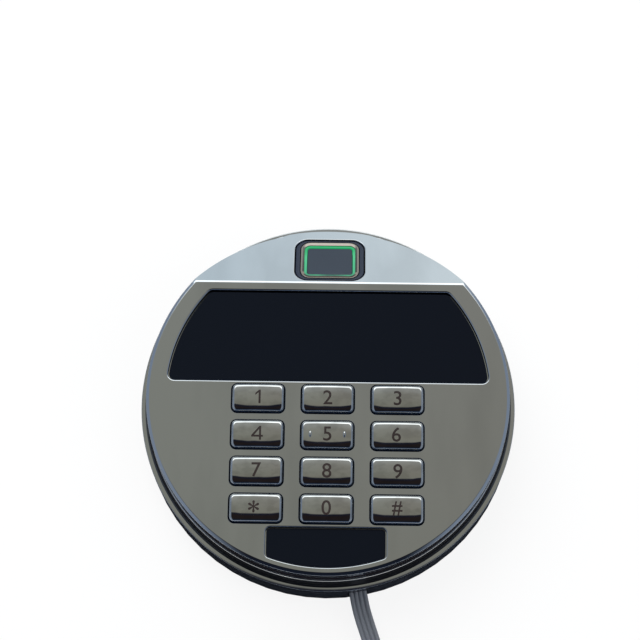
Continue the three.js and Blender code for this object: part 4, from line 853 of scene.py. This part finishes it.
# Rubber grommet that closes the slot of the base wall round the lead
grommet = {"width": 5.75, "low": 0.05, "high": 9.4, "inner": 51.6, "outer": 54.9, "edge": 0.25}
made = bmesh.new()
block = bmesh.ops.create_cube(made, size=mm)["verts"]
bmesh.ops.scale(made, verts=block, vec=(grommet["width"], grommet["outer"] - grommet["inner"],
                                        grommet["high"] - grommet["low"]))
bmesh.ops.translate(made, verts=block, vec=Vector((0, -(grommet["outer"] + grommet["inner"]) / 2,
                                                   (grommet["high"] + grommet["low"]) / 2)) * mm)
bmesh.ops.bevel(made, geom=made.edges[:], offset=grommet["edge"] * mm, segments=3, profile=0.5, affect="EDGES",
                material=-1)
finishPiece("cableGrommet", made, blackRubber, sharp=40,
            place=Matrix.Rotation(math.radians(unit["exitDegrees"]), 4, "Z"))

# Fingerprint reader, in the facet's own frame. The bezel has a flat land, narrower at its sides, and a steep inner
# slope; the light ring is domed a little
reader = {"cornerSteps": 9, "frame": (20.2, 16.3, 3.7), "frameZ": (-4.0, -0.15), "frameEdge": 0.3,
          "pocket": (17.6, 15.15, 3.0), "pocketZ": -3.1, "pocketEdge": 0.12, "bezel": (17.2, 14.75, 2.8),
          "bezelZ": (-2.8, -0.1), "bezelBand": 1.05, "bezelEdge": 0.14, "sideLand": 0.6, "land": (-0.2, -0.22),
          "slope": [(0.03, -0.245), (0.0, -0.3)], "light": (15.0, 12.55, 1.7), "lightBand": 0.7, "lightZ": -0.46,
          "lightSide": [(0.0, -0.12), (0.05, -0.03), (0.14, 0.0)], "lightDome": (0.36, 0.02),
          "pad": (13.35, 10.9, 1.0), "padZ": -0.7, "padEdge": 0.15, "padLand": 0.5}


# Rows are an outline's size, its grow and its height; without closed, both ends are filled
def readerPiece(name, node, rows, material, sharp, closed):
    levels = [(roundedRectangle(size, grow, 0.0, sensor["middle"], reader["cornerSteps"]), z) for size, grow, z in rows]
    stackedPiece(name, levels, material, [node], sharp, facetPlace, closed)


low, high = reader["frameZ"]
rows = [(reader["frame"], grow, z) for grow, z in [(0.0, low)] + raisedEdge(high, reader["frameEdge"])]
rows += [(reader["pocket"], grow, z) for grow, z in
         roundedLip(reader["pocketEdge"], high, steps=4) + [(0.0, reader["pocketZ"])]]
readerPiece("readerFrame", "sensor_frame", rows, blackAbs, sharp=30, closed=False)
low, high = reader["bezelZ"]
width, height, corner = reader["bezel"]
outerLand, innerLand = reader["land"]
rows = [(reader["bezel"], grow, z) for grow, z in
        [(0.0, low)] + raisedEdge(high, reader["bezelEdge"]) + [(outerLand, high)]]
rows.append(((width - reader["sideLand"], height, corner), innerLand, high))
rows += [(reader["bezel"], grow - reader["bezelBand"], high + drop) for grow, drop in reader["slope"]]
rows.append((reader["bezel"], -reader["bezelBand"], low))
readerPiece("readerBezel", "sensor_bezel", rows, satinNickel, sharp=12, closed=True)
top, side = reader["lightZ"], reader["lightSide"]
domeIn, domeUp = reader["lightDome"]
lightLevels = ([(0.0, low)] + [(-reach, top + drop) for reach, drop in side] + [(-domeIn, top + domeUp)]
               + [(reach - reader["lightBand"], top + drop) for reach, drop in side[::-1]]
               + [(-reader["lightBand"], low)])
readerPiece("lightRing", "sensor_light_ring", [(reader["light"], grow, z) for grow, z in lightLevels], greenGuide,
            sharp=50, closed=True)
padLevels = [(0.0, low)] + raisedEdge(reader["padZ"], reader["padEdge"]) + [(-reader["padLand"], reader["padZ"])]
readerPiece("fingerPad", "sensor_pad", [(reader["pad"], grow, z) for grow, z in padLevels], slatePolycarbonate,
            sharp=40, closed=False)
print("reader: made")

# Base: the CAD solid's shape, merged and with its flats joined
made = bmesh.new()
made.from_mesh(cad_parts["base_body"].data)
bmesh.ops.remove_doubles(made, verts=made.verts, dist=weld)
bmesh.ops.dissolve_limit(made, angle_limit=math.radians(0.5), use_dissolve_boundaries=False,
                         verts=made.verts[:], edges=made.edges[:])
finishPiece("mouldedBase", made, baseAbs, replaced=["base_body"], sharp=30)


# CAD nodes that keep their shape, by the starts of their names
def dress(material, *starts):
    for name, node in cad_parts.items():
        if name.startswith(starts):
            node.data.materials.clear()
            node.data.materials.append(material)


dress(blackAbs, "battery_tray_", "buzzer", "cable_clamp", "coil_tie")
dress(whiteNylon, "board_socket", "cable_connector")
dress(greyPvc, "cable_inner")
dress(platedSteel, "board_screw_", "clamp_screw", "bridge_contact_", "minus_contact_", "plus_contact_")
dress(shrinkWrap, "battery_1", "battery_2", "battery_3", "battery_4")
dress(greenBoard, "main_board", "sensor_board")
dress(panelGlass, "display_panel")
dress(polyimideFilm, "sensor_flex")
print("inner pieces: dressed")

# Floor and world: a pale floor that keeps the shadow, and a soft sky that the chrome mirrors
stage = {"floorHalf": 3.0, "floorZ": -0.0002, "floorColor": "F1F1F0", "floorRoughness": 0.9, "glow": 0.88,
         "nearDark": 0.075, "nearPale": 0.22, "mirroredShadeColor": "15171C"}
floorMesh = bmesh.new()
bmesh.ops.create_grid(floorMesh, x_segments=2, y_segments=2, size=stage["floorHalf"])
floorData = bpy.data.meshes.new("floor")
floorMesh.to_mesh(floorData)
floorMesh.free()
floor = bpy.data.objects.new("floor", floorData)
scene.collection.objects.link(floor)
floor.location.z = stage["floorZ"]
floorMaterial, tree, shader, place = startMaterial("paleFloor", stage["floorColor"], 0.0, stage["floorRoughness"])
rays = addNode(tree, "LightPath").outputs
seen = addNode(tree, "Math", {0: rays["Is Camera Ray"], 1: rays["Is Glossy Ray"]}, operation="MAXIMUM")
seen = addNode(tree, "Math", {0: seen, 1: rays["Is Transmission Ray"]}, operation="MAXIMUM")
share = addNode(tree, "Math", {0: seen, 1: stage["glow"]}, operation="MULTIPLY")
glow = addNode(tree, "Emission", {"Color": "FFFFFF", "Strength": 1.0})
mixed = addNode(tree, "MixShader", {0: share, 1: shader, 2: glow})
# Painted reflection: near the object, rays that the metal mirrors see a dark emission in place of the pale floor, a
# painted shadow that fades out further away
reach = addNode(tree, "VectorMath", {0: place}, operation="LENGTH").outputs["Value"]
near = addNode(tree, "MapRange", {"Value": reach, "From Min": stage["nearDark"], "From Max": stage["nearPale"],
                                  "To Min": 1.0, "To Max": 0.0}, interpolation_type="SMOOTHSTEP")
mirrored = addNode(tree, "Math", {0: near, 1: rays["Is Glossy Ray"]}, operation="MULTIPLY")
mirroredShade = addNode(tree, "Emission", {"Color": stage["mirroredShadeColor"], "Strength": 1.0})
addNode(tree, "MixShader", {0: mirrored, 1: mixed, 2: mirroredShade},
        to=next(n for n in tree.nodes if n.type == "OUTPUT_MATERIAL").inputs["Surface"])
floorData.materials.append(floorMaterial)

# Sky that the chrome mirrors: colour and strength by the angle from straight up, minus towards the keys' side and
# plus towards the reader's side. The left and right halves differ a little overhead, and a cool light stands at both
# sides
sky = {"keysSide": [(-180, "FFFFFF", 0.1), (-112, "B0CDFF", 0.26), (-96, "B0CDFF", 0.28), (-84, "B0CDFF", 0.28),
                    (-70, "B0CDFF", 0.26), (-60, "B0CDFF", 0.08), (-52, "A8C4FF", 0.026), (-36, "B4C8F8", 0.022),
                    (-20, "F0DCF4", 0.02), (-2, "FFE0E4", 0.02), (2.2, "9EB5FF", 0.032), (2.8, "FBFAEC", 0.26)],
       "left": [(9, "FAFCEF", 0.275), (12, "FAFCF0", 0.29), (19, "FAFCF2", 0.31), (30, "F8FCFA", 0.42),
                (36, "F6FBFF", 2.0), (57, "F6FBFF", 2.0), (65, "E0F0FC", 0.86), (81, "E0F0FC", 0.86)],
       "right": [(9, "FCFAEC", 0.26), (12, "FCFAEE", 0.27), (19, "FCFAF0", 0.285), (30, "FAFCFA", 0.4),
                 (36, "F8FCFF", 2.0), (57, "F8FCFF", 2.0), (65, "ECF6FC", 1.04), (81, "ECF6FC", 1.04)],
       "back": [(86, "B8CCE4", 0.14), (95, "B8CCE4", 0.12), (180, "FFFFFF", 0.1)],
       "blend": 0.09, "sideStart": 0.4, "sideEnd": 0.7, "sideColor": "C6D8F4", "sideStrength": 0.42}
world = bpy.data.worlds.new("studioSky")
scene.world = world
world.use_nodes = True
tree = world.node_tree
tree.nodes.clear()
way = addNode(tree, "SeparateXYZ", {0: addNode(tree, "TexCoord").outputs["Generated"]}).outputs
angle = addNode(tree, "Math", {0: way["Y"], 1: way["Z"]}, operation="ARCTAN2")
spot = addNode(tree, "MapRange", {"Value": angle, "From Min": -math.pi, "From Max": math.pi})
halves = []
for half in ("left", "right"):
    stops = [((a + 180) / 360, color, strength) for a, color, strength in sky["keysSide"] + sky[half] + sky["back"]]
    halves.append(addNode(tree, "ValToRGB", {"Fac": spot}, stops))
    halves[-1].color_ramp.interpolation = "EASE"
across = addNode(tree, "MapRange", {"Value": way["X"], "From Min": -sky["blend"], "From Max": sky["blend"]})
aside = addNode(tree, "Math", {0: way["X"]}, operation="ABSOLUTE")
sideShare = addNode(tree, "MapRange", {"Value": aside, "From Min": sky["sideStart"], "From Max": sky["sideEnd"]},
                    interpolation_type="SMOOTHSTEP")
both = addNode(tree, "Mix", {0: across, 6: halves[0], 7: halves[1]}, data_type="RGBA").outputs[2]
sided = addNode(tree, "Mix", {0: sideShare, 6: both, 7: hexColor(sky["sideColor"], sky["sideStrength"])},
                data_type="RGBA").outputs[2]
rays = addNode(tree, "LightPath").outputs
seenSky = addNode(tree, "Mix", {0: rays["Is Camera Ray"], 6: sided, 7: "FFFFFF"}, data_type="RGBA").outputs[2]
output = addNode(tree, "OutputWorld")
addNode(tree, "Background", {"Color": seenSky, "Strength": 1.0}, to=output.inputs["Surface"])

# Lamps: two wide soft boxes that light the matt pieces and stay out of the chrome
lamps = {"over": {"at": (-0.35, 0.45, 0.9), "size": 0.9, "power": 9.0},
         "fill": {"at": (0.6, -0.3, 0.8), "size": 1.0, "power": 4.0}}
for name, settings in lamps.items():
    data = bpy.data.lights.new(name, "AREA")
    data.shape = "DISK"
    data.size = settings["size"]
    data.energy = settings["power"]
    lamp = bpy.data.objects.new(name, data)
    lamp.location = settings["at"]
    lamp.rotation_euler = (-Vector(settings["at"])).to_track_quat("-Z", "Y").to_euler()
    lamp.visible_glossy = False
    scene.collection.objects.link(lamp)
scene.view_settings.view_transform = "Standard"
print("stage: made")
